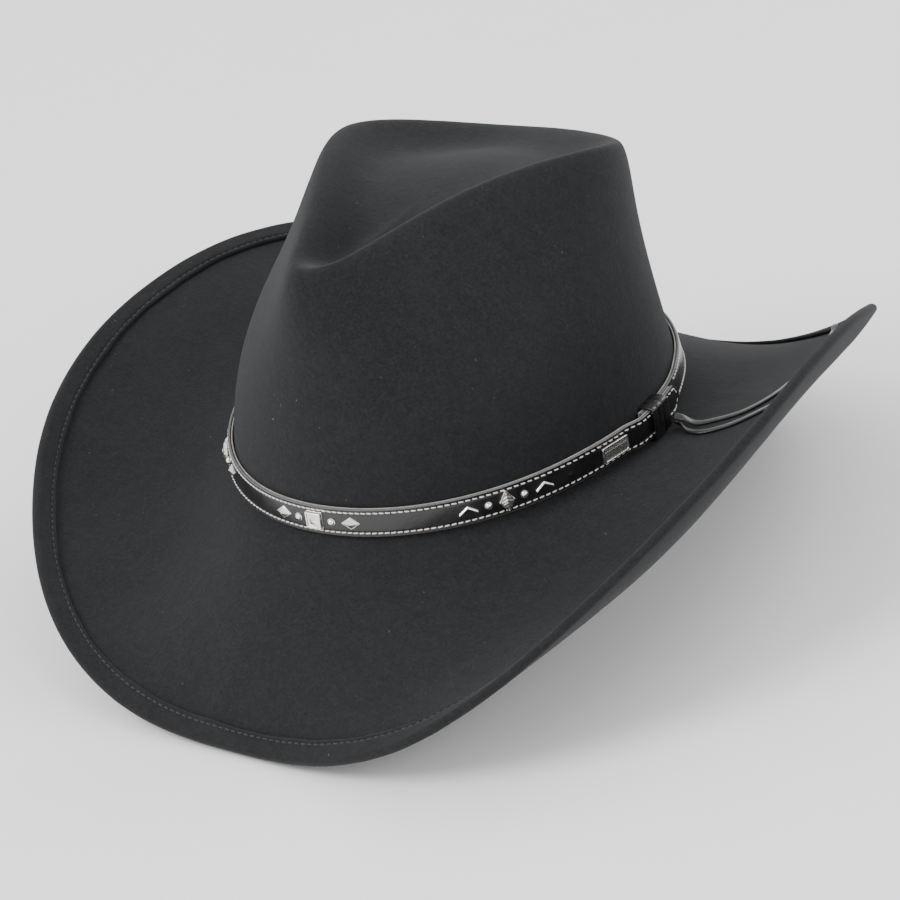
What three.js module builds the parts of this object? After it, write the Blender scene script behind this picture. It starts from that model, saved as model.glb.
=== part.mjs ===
// Western hat: a pinch-front felt crown, a rolled brim and a studded leather hatband.
// Millimetres. +Z is up, the front of the hat is at -Y and the wearer's left is at +X.
// The origin is the centre of the head opening, at the height where the brim meets the crown.
import * as THREE from "three";
import { NURBSCurve } from "three/addons/curves/NURBSCurve.js";

// ---------------------------------------------------------------- driving dimensions
// Lists of eight hold one value for each station round the hat, 45 degrees apart:
// front, front left, left, rear left, rear, rear right, right, front right.
// A hand-shaped brim isn't the same on its two sides.
const HEAD_HALF_LENGTH = 103.5;
const HEAD_HALF_WIDTH = 94;
const HEAD_EGG = 0.03;
const FELT = 2.4;

const BREAK_HEIGHT = [-1, -1.5, 1, 0.5, -2, 0, 1, -0.5];
const BRIM_WIDTH = [98.5, 105.5, 98, 93.5, 85, 94.5, 96, 102.5];
const BRIM_START_SLOPE = [-29, -34, -1, -20, -32, -2, 8, -40];
const BRIM_END_SLOPE = [-62, 43, 73, 50, -46, 12, 25, 43];
const BRIM_CURL_POWER = 1.72;

const RIDGE_HALF_LENGTH = 91;
const RIDGE_SETBACK = 6;
const RIDGE_SIDE_SHIFT = 5.5;
const RIDGE_HALF_WIDTH = [24, 24, 54, 82, 82, 82, 54, 24];
const RIDGE_HEIGHT = [122.5, 126, 133, 118, 102.5, 113.5, 131.5, 125.5];
const LOWER_WALL_BULGE = [5, 14.5, 15.5, -3.5, 2, -2.5, 15, 12];
const UPPER_WALL_BULGE = [-1, 1.5, 0, -4.5, 1, -3.5, -1, 1.5];
const LOWER_WALL_SHARE = 0.33;
const UPPER_WALL_SHARE = 0.7;
const CREASE_DEPTH = [28, 31, 22, 20, 10, 20, 23, 29];
const CREASE_RING = 0.68;
const DOME_RING = 0.4;
const DOME_CENTRE_Y = 3;
const DOME_HEIGHT = 106;
const DOME_RISE_TO_REAR = 0.09;

const HEM_WIDTH = 10.5;
const HEM_FLAP = 2.1;
const HEM_SLIT = 0.3;
const WIRE_RADIUS = 0.8;
const WIRE_CHANNEL_RADIUS = 1.1;
const THREAD_RADIUS = 0.2;

const TOUCHING_GAP = 0.3;
const LINING = 0.4;
const LINING_HEIGHTS = [26, 34, 42, 50, 58];
const LINING_ROOM = 0.8;
const TIP_HEIGHT = 62;
const TIP_CROWN = 5;
const SWEAT_LEATHER = 1;
const SWEATBAND_HEIGHTS = [0.5, 12, 25, 38];
const REED_RADIUS = 1.1;
const BOW_WIDTH = 22;
const BOW_HEIGHT = 9;
const BOW_KNOT = 2.2;
const BOW_THICKNESS = 1.4;
const BOW_LEVEL = 20;
const BOW_DEPTH = 6.4;

const STRAP_WIDTH = 12.5;
const STRAP_RAISE = 2.8;
const FACE_THICKNESS = 1.1;
const BACKING_THICKNESS = 0.7;
const STRAP_STANDOFF = 0.6;
const STITCH_INSET = 1.6;
const OVERLAP_GAP = 0.3;
const KEEPER_ANGLE = 97;
const STRAP_OVERLAP_ANGLE = 5;
const STRAP_TONGUE_ANGLE = 11;
const STRAP_POINT_ANGLE = 3;
const POINT_SHARE = 0.85;
const RAMP_ANGLE = 6.5;
const KEEPER_HALF_ANGLE = 8;
const LIFT_FADE_ANGLE = 24;
const LEATHER_WRAP = 1;
const WRAP_WIDTHS = [3.2, 3.2, 5];
const WRAP_SPACING = 0.4;
const MILLIMETRES_PER_DEGREE = 1.82;

const LACE_RADIUS = 1;
const LACE_SIDES = 8;

const PLATE_LIFT = 0.1;
const OVER_THREAD_LIFT = 0.7;

const ROUND_STEPS = 48;
const WALL_TOP_SHARE = 0.5;
const SEARCH_STEPS = 24;
const DEGREES = Math.PI / 180;
const UP = new THREE.Vector3(0, 0, 1);

// ---------------------------------------------------------------- materials
function material(color, roughness, metalness) {
  return new THREE.MeshStandardMaterial({ color, roughness, metalness });
}

const MATERIALS = {
  felt: material(0x26282a, 0.95, 0),
  wire: material(0x8a8d90, 0.35, 1),
  darkThread: material(0x141416, 0.8, 0),
  whiteThread: material(0xd8d5cc, 0.7, 0),
  sweatLeather: material(0x17120f, 0.55, 0),
  satin: material(0x101113, 0.35, 0),
  strapLeather: material(0x0d0d0e, 0.35, 0),
  backingLeather: material(0x8f8a80, 0.7, 0),
  silver: material(0xcfc9bd, 0.22, 1),
};

const hatBody = new THREE.Group();
const hatband = new THREE.Group();

function addMesh(group, name, geometry, look) {
  const mesh = new THREE.Mesh(geometry, MATERIALS[look]);
  mesh.name = name;
  group.add(mesh);
  return mesh;
}

// ---------------------------------------------------------------- values that vary round the hat
// A smooth closed curve through the station values, by trigonometric interpolation.
function aroundHat(values) {
  const count = values.length;
  return (angle) =>
    values.reduce((sum, value, station) => {
      const x = angle - (station * 2 * Math.PI) / count;
      const weight =
        Math.abs(Math.sin(x / 2)) < 1e-9
          ? 1
          : Math.sin((count * x) / 2) / (count * Math.tan(x / 2));
      return sum + value * weight;
    }, 0);
}

const breakHeight = aroundHat(BREAK_HEIGHT);
const brimWidth = aroundHat(BRIM_WIDTH);
const brimStart = aroundHat(BRIM_START_SLOPE);
const brimEnd = aroundHat(BRIM_END_SLOPE);
const ridgeHeight = aroundHat(RIDGE_HEIGHT);
const lowerBulge = aroundHat(LOWER_WALL_BULGE);
const upperBulge = aroundHat(UPPER_WALL_BULGE);
const creaseDepth = aroundHat(CREASE_DEPTH);
const ridgeHalfWidth = aroundHat(RIDGE_HALF_WIDTH);

// The head oval at an angle round the hat: a point on it and its outward normal.
function headOval(angle) {
  const sin = Math.sin(angle);
  const cos = Math.cos(angle);
  const point = new THREE.Vector3(
    HEAD_HALF_WIDTH * sin * (1 - HEAD_EGG * cos),
    -HEAD_HALF_LENGTH * cos,
    breakHeight(angle),
  );
  const alongX = HEAD_HALF_WIDTH * (cos - HEAD_EGG * (cos * cos - sin * sin));
  const alongY = HEAD_HALF_LENGTH * sin;
  return { point, outward: new THREE.Vector3(alongY, -alongX, 0).normalize() };
}

// ---------------------------------------------------------------- brim surface
const BRIM_STEPS = 20;

// The brim at `reach` millimetres out from the break: its place, direction and upward normal.
function brimFrame(angle, reach) {
  const { point, outward } = headOval(angle);
  const width = brimWidth(angle);
  const start = brimStart(angle) * DEGREES;
  const change = brimEnd(angle) * DEGREES - start;
  const slopeAt = (share) => start + change * Math.max(share, 0) ** BRIM_CURL_POWER;
  const step = reach / BRIM_STEPS;
  for (let i = 0; i < BRIM_STEPS; i += 1) {
    const slope = slopeAt(((i + 0.5) * step) / width);
    point.addScaledVector(outward, Math.cos(slope) * step);
    point.addScaledVector(UP, Math.sin(slope) * step);
  }
  const slope = slopeAt(reach / width);
  const along = outward.clone().multiplyScalar(Math.cos(slope)).addScaledVector(UP, Math.sin(slope));
  const normal = outward.clone().multiplyScalar(-Math.sin(slope)).addScaledVector(UP, Math.cos(slope));
  return { point, along, normal };
}

function brimPoint(angle, reach, height) {
  const frame = brimFrame(angle, reach);
  return frame.point.addScaledVector(frame.normal, height);
}

// ---------------------------------------------------------------- crown surface
const CUBIC = 3;
const CROWN_KNOTS = [0, 0, 0, 0, 0.25, 0.5, 0.75, 1, 1, 1, 1];

// One meridian of the crown's outer skin, from the break (0) over the ridge to the dome's middle (1).
function crownMeridian(angle) {
  const { point: foot, outward } = headOval(angle);
  const ridge = new THREE.Vector3(
    RIDGE_SIDE_SHIFT + ridgeHalfWidth(angle) * Math.sin(angle),
    RIDGE_SETBACK - RIDGE_HALF_LENGTH * Math.cos(angle),
    ridgeHeight(angle),
  );
  const wallPoint = (share, bulge) => foot.clone().lerp(ridge, share).addScaledVector(outward, bulge);
  const middle = new THREE.Vector3(RIDGE_SIDE_SHIFT, DOME_CENTRE_Y, DOME_HEIGHT);
  const ringPoint = (share) => middle.clone().lerp(ridge, share);
  const valley = ringPoint(CREASE_RING).setZ(ridge.z - creaseDepth(angle));
  const shoulder = ringPoint(DOME_RING);
  shoulder.setZ(DOME_HEIGHT + DOME_RISE_TO_REAR * (shoulder.y - DOME_CENTRE_Y));
  const controls = [
    foot,
    wallPoint(LOWER_WALL_SHARE, lowerBulge(angle)),
    wallPoint(UPPER_WALL_SHARE, upperBulge(angle)),
    ridge,
    valley,
    shoulder,
    middle,
  ];
  const weighted = controls.map((p) => new THREE.Vector4(p.x, p.y, p.z, 1));
  return new NURBSCurve(CUBIC, CROWN_KNOTS, weighted);
}

function crownPoint(angle, share) {
  return crownMeridian(angle).getPoint(share);
}

const CROWN_PROBE = 0.004;

// The crown's outward normal, from the surface's own slopes.
function crownNormal(angle, share) {
  const low = Math.max(share - CROWN_PROBE, 0);
  const high = Math.min(share + CROWN_PROBE, 1);
  const climb = crownPoint(angle, high).sub(crownPoint(angle, low));
  const round = crownPoint(angle + CROWN_PROBE, share).sub(crownPoint(angle - CROWN_PROBE, share));
  return round.cross(climb).normalize();
}

function insideCrown(angle, share, depth) {
  return crownPoint(angle, share).addScaledVector(crownNormal(angle, share), -depth);
}

// ---------------------------------------------------------------- closed solids from rings of points
function solidFromTriangles(points, triangles) {
  const geometry = new THREE.BufferGeometry().setFromPoints(points);
  geometry.setIndex(triangles);
  geometry.computeVertexNormals();
  return geometry;
}

function stepAngle(step) {
  return (step * 2 * Math.PI) / ROUND_STEPS;
}

// A skin closed by a pole at each end. Each ring is a function of the angle round the hat, and the
// rings run from the upper pole outwards over the top and back underneath to the lower pole.
function poleToPole(upperPole, rings, lowerPole) {
  const points = [upperPole];
  rings.forEach((ring) => {
    for (let step = 0; step < ROUND_STEPS; step += 1) points.push(ring(stepAngle(step)));
  });
  points.push(lowerPole);
  const last = points.length - 1;
  const at = (ring, step) => 1 + ring * ROUND_STEPS + (step % ROUND_STEPS);
  const triangles = [];
  for (let step = 0; step < ROUND_STEPS; step += 1) {
    triangles.push(0, at(0, step), at(0, step + 1));
    for (let ring = 0; ring < rings.length - 1; ring += 1) {
      triangles.push(at(ring, step), at(ring + 1, step), at(ring, step + 1));
      triangles.push(at(ring, step + 1), at(ring + 1, step), at(ring + 1, step + 1));
    }
    triangles.push(last, at(rings.length - 1, step + 1), at(rings.length - 1, step));
  }
  return solidFromTriangles(points, triangles);
}

// A bar through a row of sections, each a list of points that turns from outward to upward.
function barThrough(sections, joined) {
  const sides = sections[0].length;
  const points = sections.flat();
  const at = (section, side) => (section % sections.length) * sides + (side % sides);
  const triangles = [];
  const spans = joined ? sections.length : sections.length - 1;
  for (let section = 0; section < spans; section += 1) {
    for (let side = 0; side < sides; side += 1) {
      triangles.push(at(section, side), at(section + 1, side), at(section, side + 1));
      triangles.push(at(section + 1, side), at(section + 1, side + 1), at(section, side + 1));
    }
  }
  if (!joined) {
    const end = sections.length - 1;
    for (let side = 1; side < sides - 1; side += 1) {
      triangles.push(at(0, 0), at(0, side), at(0, side + 1));
      triangles.push(at(end, 0), at(end, side + 1), at(end, side));
    }
  }
  return solidFromTriangles(points, triangles);
}

function ringSections(sectionAt) {
  return Array.from({ length: ROUND_STEPS }, (_, step) => sectionAt(stepAngle(step)));
}

// A round section of a thread, wire or reed about `centre`, in the plane of two unit directions.
function roundSection(centre, outward, upward, radius, sides) {
  return Array.from({ length: sides }, (_, side) => {
    const turn = (side * 2 * Math.PI) / sides;
    return centre
      .clone()
      .addScaledVector(outward, radius * Math.cos(turn))
      .addScaledVector(upward, radius * Math.sin(turn));
  });
}

// ---------------------------------------------------------------- felt body, brim wire and hem thread
const CROWN_RINGS = 17;
const BRIM_RINGS = 8;
const HEM_RINGS = 2;
const FOLD_STEPS = 5;
const CHANNEL_STEPS = 5;
const CHANNEL_CLOSURE = 0.95;
const FOLD_RADIUS = (FELT + HEM_SLIT + HEM_FLAP) / 2;
const FOLD_HEIGHT = (HEM_SLIT + HEM_FLAP - FELT) / 2;

function foldCentreReach(angle) {
  return brimWidth(angle) - FOLD_RADIUS;
}

function feltBody() {
  const rings = [];
  const fromHem = (inset, height) => rings.push((a) => brimPoint(a, brimWidth(a) - inset, height));
  for (let i = CROWN_RINGS - 1; i >= 1; i -= 1) {
    rings.push((a) => crownPoint(a, i / CROWN_RINGS));
  }
  for (let i = 0; i < BRIM_RINGS; i += 1) {
    rings.push((a) => brimPoint(a, ((brimWidth(a) - HEM_WIDTH) * i) / BRIM_RINGS, 0));
  }
  fromHem(HEM_WIDTH, 0);
  // the slit under the folded hem ends in the round channel that holds the wire
  for (let i = 0; i <= CHANNEL_STEPS; i += 1) {
    const turn = Math.PI * CHANNEL_CLOSURE * ((2 * i) / CHANNEL_STEPS - 1);
    fromHem(
      FOLD_RADIUS - WIRE_CHANNEL_RADIUS * Math.cos(turn),
      FOLD_HEIGHT + HEM_SLIT / 2 + WIRE_CHANNEL_RADIUS * Math.sin(turn),
    );
  }
  fromHem(HEM_WIDTH, HEM_SLIT);
  for (let i = 0; i <= HEM_RINGS; i += 1) {
    fromHem(HEM_WIDTH + ((FOLD_RADIUS - HEM_WIDTH) * i) / HEM_RINGS, HEM_SLIT + HEM_FLAP);
  }
  for (let i = 1; i <= FOLD_STEPS; i += 1) {
    const turn = Math.PI * (0.5 - i / (FOLD_STEPS + 1));
    fromHem(
      FOLD_RADIUS * (1 - Math.cos(turn)),
      FOLD_HEIGHT + FOLD_RADIUS * Math.sin(turn),
    );
  }
  for (let i = BRIM_RINGS; i >= 0; i -= 1) {
    rings.push((a) => brimPoint(a, (foldCentreReach(a) * i) / BRIM_RINGS, -FELT));
  }
  for (let i = 0; i < CROWN_RINGS; i += 1) {
    rings.push((a) => insideCrown(a, i / CROWN_RINGS, FELT));
  }
  const top = crownPoint(0, 1);
  return poleToPole(top, rings, top.clone().addScaledVector(UP, -FELT));
}

addMesh(hatBody, "felt_body", feltBody(), "felt");

// A thin round bar that follows the brim at a given distance from its edge.
function brimRing(inset, height, radius, sides) {
  return barThrough(
    ringSections((angle) => {
      const frame = brimFrame(angle, brimWidth(angle) - inset);
      frame.point.addScaledVector(frame.normal, height);
      return roundSection(frame.point, frame.along, frame.normal, radius, sides);
    }),
    true,
  );
}

const WIRE_SIDES = 6;
const THREAD_SIDES = 5;
const HEM_STITCH_INSET = HEM_WIDTH - 1.8;
const HEM_STITCH_HEIGHT = HEM_SLIT + HEM_FLAP + TOUCHING_GAP + THREAD_RADIUS;
const wireRing = brimRing(FOLD_RADIUS, FOLD_HEIGHT + HEM_SLIT / 2, WIRE_RADIUS, WIRE_SIDES);
addMesh(hatBody, "brim_wire", wireRing, "wire");
const hemThread = brimRing(HEM_STITCH_INSET, HEM_STITCH_HEIGHT, THREAD_RADIUS, THREAD_SIDES);
addMesh(hatBody, "hem_stitching", hemThread, "darkThread");

// ---------------------------------------------------------------- inside the crown
// The share of the meridian at which the outer skin stands `height` millimetres above the break.
function shareAtHeight(angle, height) {
  const wanted = breakHeight(angle) + height;
  let low = 0;
  let high = WALL_TOP_SHARE;
  for (let i = 0; i < SEARCH_STEPS; i += 1) {
    const middle = (low + high) / 2;
    if (crownPoint(angle, middle).z < wanted) low = middle;
    else high = middle;
  }
  return low;
}

// A strip that lines the crown: its outer face lies `depth` inside the outer skin.
function innerStrip(depth, thickness, heights) {
  return barThrough(
    ringSections((angle) => {
      const shares = heights.map((height) => shareAtHeight(angle, height));
      const outer = shares.map((share) => insideCrown(angle, share, depth));
      const inner = shares.map((share) => insideCrown(angle, share, depth + thickness));
      return [...outer, ...inner.reverse()];
    }),
    true,
  );
}

const LINING_DEPTH = FELT + LINING_ROOM;
const SWEATBAND_DEPTH = LINING_DEPTH + LINING + 2 * TOUCHING_GAP;
const REED_DEPTH = SWEATBAND_DEPTH + REED_RADIUS / 2;
const REED_SIDES = 6;

addMesh(hatBody, "sweatband", innerStrip(SWEATBAND_DEPTH, SWEAT_LEATHER, SWEATBAND_HEIGHTS), "sweatLeather");
addMesh(hatBody, "lining_side", innerStrip(LINING_DEPTH, LINING, LINING_HEIGHTS), "satin");
addMesh(
  hatBody,
  "sweatband_reed",
  barThrough(
    ringSections((angle) => {
      const centre = insideCrown(angle, 0, REED_DEPTH);
      centre.addScaledVector(UP, -TOUCHING_GAP - REED_RADIUS);
      return roundSection(centre, headOval(angle).outward, UP, REED_RADIUS, REED_SIDES);
    }),
    true,
  ),
  "sweatLeather",
);

const TIP_RING_SHARES = [0.35, 0.7, 1];

// The lining's oval tip, a shallow dome of cloth inside the top of the side strip.
function liningTip() {
  const edge = (angle) =>
    insideCrown(angle, shareAtHeight(angle, TIP_HEIGHT), LINING_DEPTH + LINING + TOUCHING_GAP);
  const rise = (share) => TIP_CROWN * (1 - share * share);
  const middle = new THREE.Vector3(0, 0, TIP_HEIGHT + TIP_CROWN);
  const ring = (share, drop) => (angle) =>
    edge(angle)
      .lerp(new THREE.Vector3(0, 0, TIP_HEIGHT), 1 - share)
      .addScaledVector(UP, rise(share) - drop);
  const above = TIP_RING_SHARES.map((share) => ring(share, 0));
  const below = TIP_RING_SHARES.map((share) => ring(share, LINING)).reverse();
  return poleToPole(middle, [...above, ...below], middle.clone().addScaledVector(UP, -LINING));
}

addMesh(hatBody, "lining_tip", liningTip(), "satin");

// The bow of ribbon on the sweatband's rear seam: two loops and a knot, cut from one outline.
function backBow() {
  const half = BOW_WIDTH / 2;
  const outline = new THREE.Shape();
  outline.moveTo(BOW_KNOT, BOW_KNOT);
  outline.lineTo(half, BOW_HEIGHT / 2);
  outline.lineTo(half, -BOW_HEIGHT / 2);
  outline.lineTo(BOW_KNOT, -BOW_KNOT);
  outline.lineTo(-BOW_KNOT, -BOW_KNOT);
  outline.lineTo(-half, -BOW_HEIGHT / 2);
  outline.lineTo(-half, BOW_HEIGHT / 2);
  outline.lineTo(-BOW_KNOT, BOW_KNOT);
  return new THREE.ExtrudeGeometry(outline, { depth: BOW_THICKNESS, bevelEnabled: false });
}

const bow = addMesh(hatBody, "back_bow", backBow(), "satin");
const bowPlace = insideCrown(Math.PI, shareAtHeight(Math.PI, BOW_LEVEL), BOW_DEPTH);
bow.position.copy(bowPlace);
bow.rotation.x = Math.PI / 2;

// ---------------------------------------------------------------- hatband: a frame along the strap
// A place on the strap's path: its foot, the outward, upward and forward directions there.
function bandFrame(angle) {
  const foot = headOval(angle).point;
  const wall = crownPoint(angle, shareAtHeight(angle, STRAP_RAISE + STRAP_WIDTH));
  const up = wall.sub(foot).normalize();
  const ahead = headOval(angle + CROWN_PROBE).point.sub(headOval(angle - CROWN_PROBE).point);
  const outward = ahead.clone().cross(up).normalize();
  return { foot, up, outward, forward: up.clone().cross(outward).normalize() };
}

function smoothStep(from, to, value) {
  const share = Math.min(Math.max((value - from) / (to - from), 0), 1);
  return share * share * (3 - 2 * share);
}

const PLY = FACE_THICKNESS + TOUCHING_GAP + BACKING_THICKNESS;
const PATH_START = KEEPER_ANGLE - STRAP_OVERLAP_ANGLE;
const PATH_END = KEEPER_ANGLE + 360 + STRAP_TONGUE_ANGLE;
const KEEPER_LIFT = LEATHER_WRAP + 2 * TOUCHING_GAP;
const RAMP_TOP_ANGLE = 1;

// How far the backing's inner face stands off the felt, along the strap's path in degrees.
function strapStandoff(path) {
  const fromKeeper = Math.abs(((path - KEEPER_ANGLE + 180) % 360) - 180);
  const lifted = 1 - smoothStep(KEEPER_HALF_ANGLE, LIFT_FADE_ANGLE, fromKeeper);
  const hiddenEnd = PATH_START + 360;
  const overlapping = smoothStep(hiddenEnd - RAMP_ANGLE, hiddenEnd - RAMP_TOP_ANGLE, path);
  const lift = (KEEPER_LIFT - STRAP_STANDOFF) * lifted;
  return STRAP_STANDOFF + lift + (PLY + OVERLAP_GAP) * overlapping;
}

function bandPoint(path, proud, height) {
  const frame = bandFrame(path * DEGREES);
  return frame.foot
    .clone()
    .addScaledVector(frame.outward, strapStandoff(path) + proud)
    .addScaledVector(frame.up, STRAP_RAISE + height);
}

const SECTION_ANGLE = 5;
const CLOSE_SECTION_ANGLE = 2.5;
const CLOSE_AFTER_START = 30;
const CLOSE_BEFORE_END = 45;
const LEAST_SECTION_ANGLE = 0.1;

// The path angles at which the strap is cut into sections, closer together where it overlaps.
function pathAngles(from, to) {
  const angles = [from];
  while (angles.at(-1) < to - LEAST_SECTION_ANGLE) {
    const here = angles.at(-1);
    const close = here < PATH_START + CLOSE_AFTER_START || here > PATH_END - CLOSE_BEFORE_END;
    angles.push(Math.min(here + (close ? CLOSE_SECTION_ANGLE : SECTION_ANGLE), to));
  }
  return angles;
}

// One ply of the strap, cut to a point at its outer end.
function strapPly(inner, thickness, trim) {
  const end = PATH_END - trim;
  const sections = pathAngles(PATH_START, end).map((path) => {
    const point = Math.max((path - end + STRAP_POINT_ANGLE) / STRAP_POINT_ANGLE, 0);
    const half = (STRAP_WIDTH / 2) * (1 - POINT_SHARE * point);
    const low = STRAP_WIDTH / 2 - half;
    const high = STRAP_WIDTH / 2 + half;
    return [
      bandPoint(path, inner + thickness, low),
      bandPoint(path, inner + thickness, high),
      bandPoint(path, inner, high),
      bandPoint(path, inner, low),
    ];
  });
  return barThrough(sections, false);
}

const BACKING_TRIM_ANGLE = 0.4;
addMesh(hatband, "strap_backing", strapPly(0, BACKING_THICKNESS, BACKING_TRIM_ANGLE), "backingLeather");
addMesh(
  hatband,
  "strap_face",
  strapPly(BACKING_THICKNESS + TOUCHING_GAP, FACE_THICKNESS, 0),
  "strapLeather",
);

const STITCH_CLEAR_OF_TONGUE = 2;
const STITCH_TURN_BEFORE_POINT = 1;
const STITCH_TIP_INSET_ANGLE = 2.2;

// One thread runs along the lower edge, round the point and back along the upper edge.
function strapStitching() {
  const proud = PLY + TOUCHING_GAP + THREAD_RADIUS;
  const turn = PATH_END - STRAP_POINT_ANGLE - STITCH_TURN_BEFORE_POINT;
  const row = pathAngles(PATH_END - 360 + STITCH_CLEAR_OF_TONGUE, turn);
  const stops = [
    ...row.map((path) => [path, STITCH_INSET]),
    [PATH_END - STITCH_TIP_INSET_ANGLE, STRAP_WIDTH / 2],
    ...row.reverse().map((path) => [path, STRAP_WIDTH - STITCH_INSET]),
  ];
  const centres = stops.map(([path, height]) => bandPoint(path, proud, height));
  const sections = centres.map((centre, i) => {
    const before = centres[Math.max(i - 1, 0)];
    const after = centres[Math.min(i + 1, centres.length - 1)];
    const ahead = after.clone().sub(before).normalize();
    const { outward } = bandFrame(stops[i][0] * DEGREES);
    const sideways = outward.clone().cross(ahead).normalize();
    return roundSection(centre, outward, sideways, THREAD_RADIUS, THREAD_SIDES);
  });
  return barThrough(sections, false);
}

addMesh(hatband, "strap_stitching", strapStitching(), "whiteThread");

// Puts a piece made flat (x forward along the strap, y up, z outward) on the strap at a path angle.
function placeOnStrap(mesh, path, proud, height) {
  const { up } = bandFrame(path * DEGREES);
  const forward = bandPoint(path + 1, proud, height).sub(bandPoint(path - 1, proud, height));
  forward.normalize();
  const outward = forward.clone().cross(up).normalize();
  const upright = outward.clone().cross(forward);
  mesh.position.copy(bandPoint(path, proud, height));
  mesh.quaternion.setFromRotationMatrix(new THREE.Matrix4().makeBasis(forward, upright, outward));
}

// ---------------------------------------------------------------- keeper wraps
function roundedBox(shape, left, bottom, right, top, radius) {
  shape.moveTo(left + radius, bottom);
  shape.lineTo(right - radius, bottom);
  shape.lineTo(right, bottom + radius);
  shape.lineTo(right, top - radius);
  shape.lineTo(right - radius, top);
  shape.lineTo(left + radius, top);
  shape.lineTo(left, top - radius);
  shape.lineTo(left, bottom + radius);
  shape.closePath();
  return shape;
}

// A loop of thong round both ends of the strap, drawn in its cross-section (x outward, y up).
function wrapLoop(width) {
  const outerFace = 2 * PLY + OVERLAP_GAP + TOUCHING_GAP + 2 * THREAD_RADIUS + TOUCHING_GAP;
  const room = TOUCHING_GAP;
  const skin = LEATHER_WRAP;
  const outline = new THREE.Shape();
  roundedBox(outline, -room - skin, -room - skin, outerFace + skin, STRAP_WIDTH + room + skin, skin);
  outline.holes.push(roundedBox(new THREE.Path(), -room, -room, outerFace, STRAP_WIDTH + room, skin / 4));
  const loop = new THREE.ExtrudeGeometry(outline, { depth: width, bevelEnabled: false });
  // the section's x turns to outward and its depth to forward
  loop.rotateY(-Math.PI / 2);
  return loop.translate(width / 2, 0, 0);
}

let wrapStart = -(WRAP_WIDTHS.reduce((sum, width) => sum + width + WRAP_SPACING, -WRAP_SPACING)) / 2;
WRAP_WIDTHS.forEach((width, i) => {
  const wrap = addMesh(hatband, `keeper_wrap_${i + 1}`, wrapLoop(width), "strapLeather");
  placeOnStrap(wrap, KEEPER_ANGLE + (wrapStart + width / 2) / MILLIMETRES_PER_DEGREE, 0, 0);
  wrapStart += width + WRAP_SPACING;
});

// ---------------------------------------------------------------- laces
// Each route: angle round the hat in degrees, distance out from the break, height above the brim.
const LACE_ROUTES = {
  lace_lower: [
    [100.7, 9.5, 2.6],
    [100.3, 12.5, 2],
    [98.9, 17, 1.6],
    [98.4, 22, 1.6],
    [98.8, 27, 1.6],
    [99.7, 32, 1.6],
    [100.7, 37, 1.6],
    [101.9, 41.5, 1.6],
    [103.1, 46, 1.6],
    [104.3, 51.5, 1.6],
    [105.3, 57, 1.6],
    [107.6, 61.5, 1.6],
    [111.3, 64.2, 2],
    [116, 65.6, 2.8],
    [121.2, 66, 3.4],
    [126.4, 66, 3.6],
    [131.4, 66.6, 3.8],
    [136, 68.3, 4],
    [140.2, 71.6, 4],
    [143.6, 75.8, 4],
    [146.3, 80.8, 4],
  ],
  lace_upper: [
    [100.7, 9.2, 5.6],
    [101.3, 12.5, 4.4],
    [101.6, 17, 2.8],
    [102.3, 21.5, 1.6],
    [103.1, 26, 1.6],
    [104, 31, 1.6],
    [105.2, 36.5, 1.6],
    [106.9, 41.8, 1.6],
    [108.7, 45.8, 1.6],
    [111, 49.3, 1.6],
    [114, 52, 1.6],
    [117.4, 53.6, 1.6],
    [121, 54.2, 1.6],
  ],
};

Object.entries(LACE_ROUTES).forEach(([name, route]) => {
  const stops = route.map(([angle, reach, height]) => brimPoint(angle * DEGREES, reach, height));
  const section = new THREE.Shape();
  for (let side = 0; side < LACE_SIDES; side += 1) {
    const turn = (side * 2 * Math.PI) / LACE_SIDES;
    const corner = [LACE_RADIUS * Math.cos(turn), LACE_RADIUS * Math.sin(turn)];
    if (side === 0) section.moveTo(...corner);
    else section.lineTo(...corner);
  }
  const extrudePath = new THREE.CatmullRomCurve3(stops);
  const tube = new THREE.ExtrudeGeometry(section, { steps: 2 * stops.length - 4, extrudePath });
  addMesh(hatband, name, tube, "strapLeather");
});

// ---------------------------------------------------------------- studs and plate
// Every stud is made flat on its back, x forward along the strap, y up and z outward.
function pyramid(halfWidth, halfHeight, rise) {
  const geometry = new THREE.ConeGeometry(1, rise, 4);
  geometry.rotateX(Math.PI / 2);
  return geometry.scale(halfWidth, halfHeight, 1).translate(0, 0, rise / 2);
}

function turned(profile, sides) {
  const outline = profile.map(([radius, rise]) => new THREE.Vector2(radius, rise));
  return new THREE.LatheGeometry(outline, sides).rotateX(Math.PI / 2);
}

// A round dome. Every profile here is a list of [radius, rise off the leather].
function ballStud() {
  return turned([[0, 0], [1.7, 0], [1.75, 0.4], [1.4, 1.1], [0.8, 1.5], [0, 1.65]], 12);
}

// A four-sided pyramid, longer along the strap than across it.
function diamondStud() {
  return pyramid(4.1, 2.8, 1.7);
}

// A square stud with a raised border round a low pyramid.
function squareStud() {
  const square = turned([[0, 0], [5.3, 0], [5.3, 1.3], [4.4, 1.6], [3.9, 1.1], [0, 2.3]], 4);
  return square.rotateZ(Math.PI / 4);
}

// An oval domed concho with a stepped rim.
function conchoStud() {
  const oval = turned([[0, 0], [5, 0], [5.1, 0.7], [4.3, 1.1], [3.9, 0.9], [2.6, 2], [0, 2.5]], 20);
  return oval.scale(0.82, 1.06, 1);
}

// A four-sided pyramid, taller across the strap than along it.
function rhombusStud() {
  return pyramid(3.4, 5.2, 1.9);
}

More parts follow.
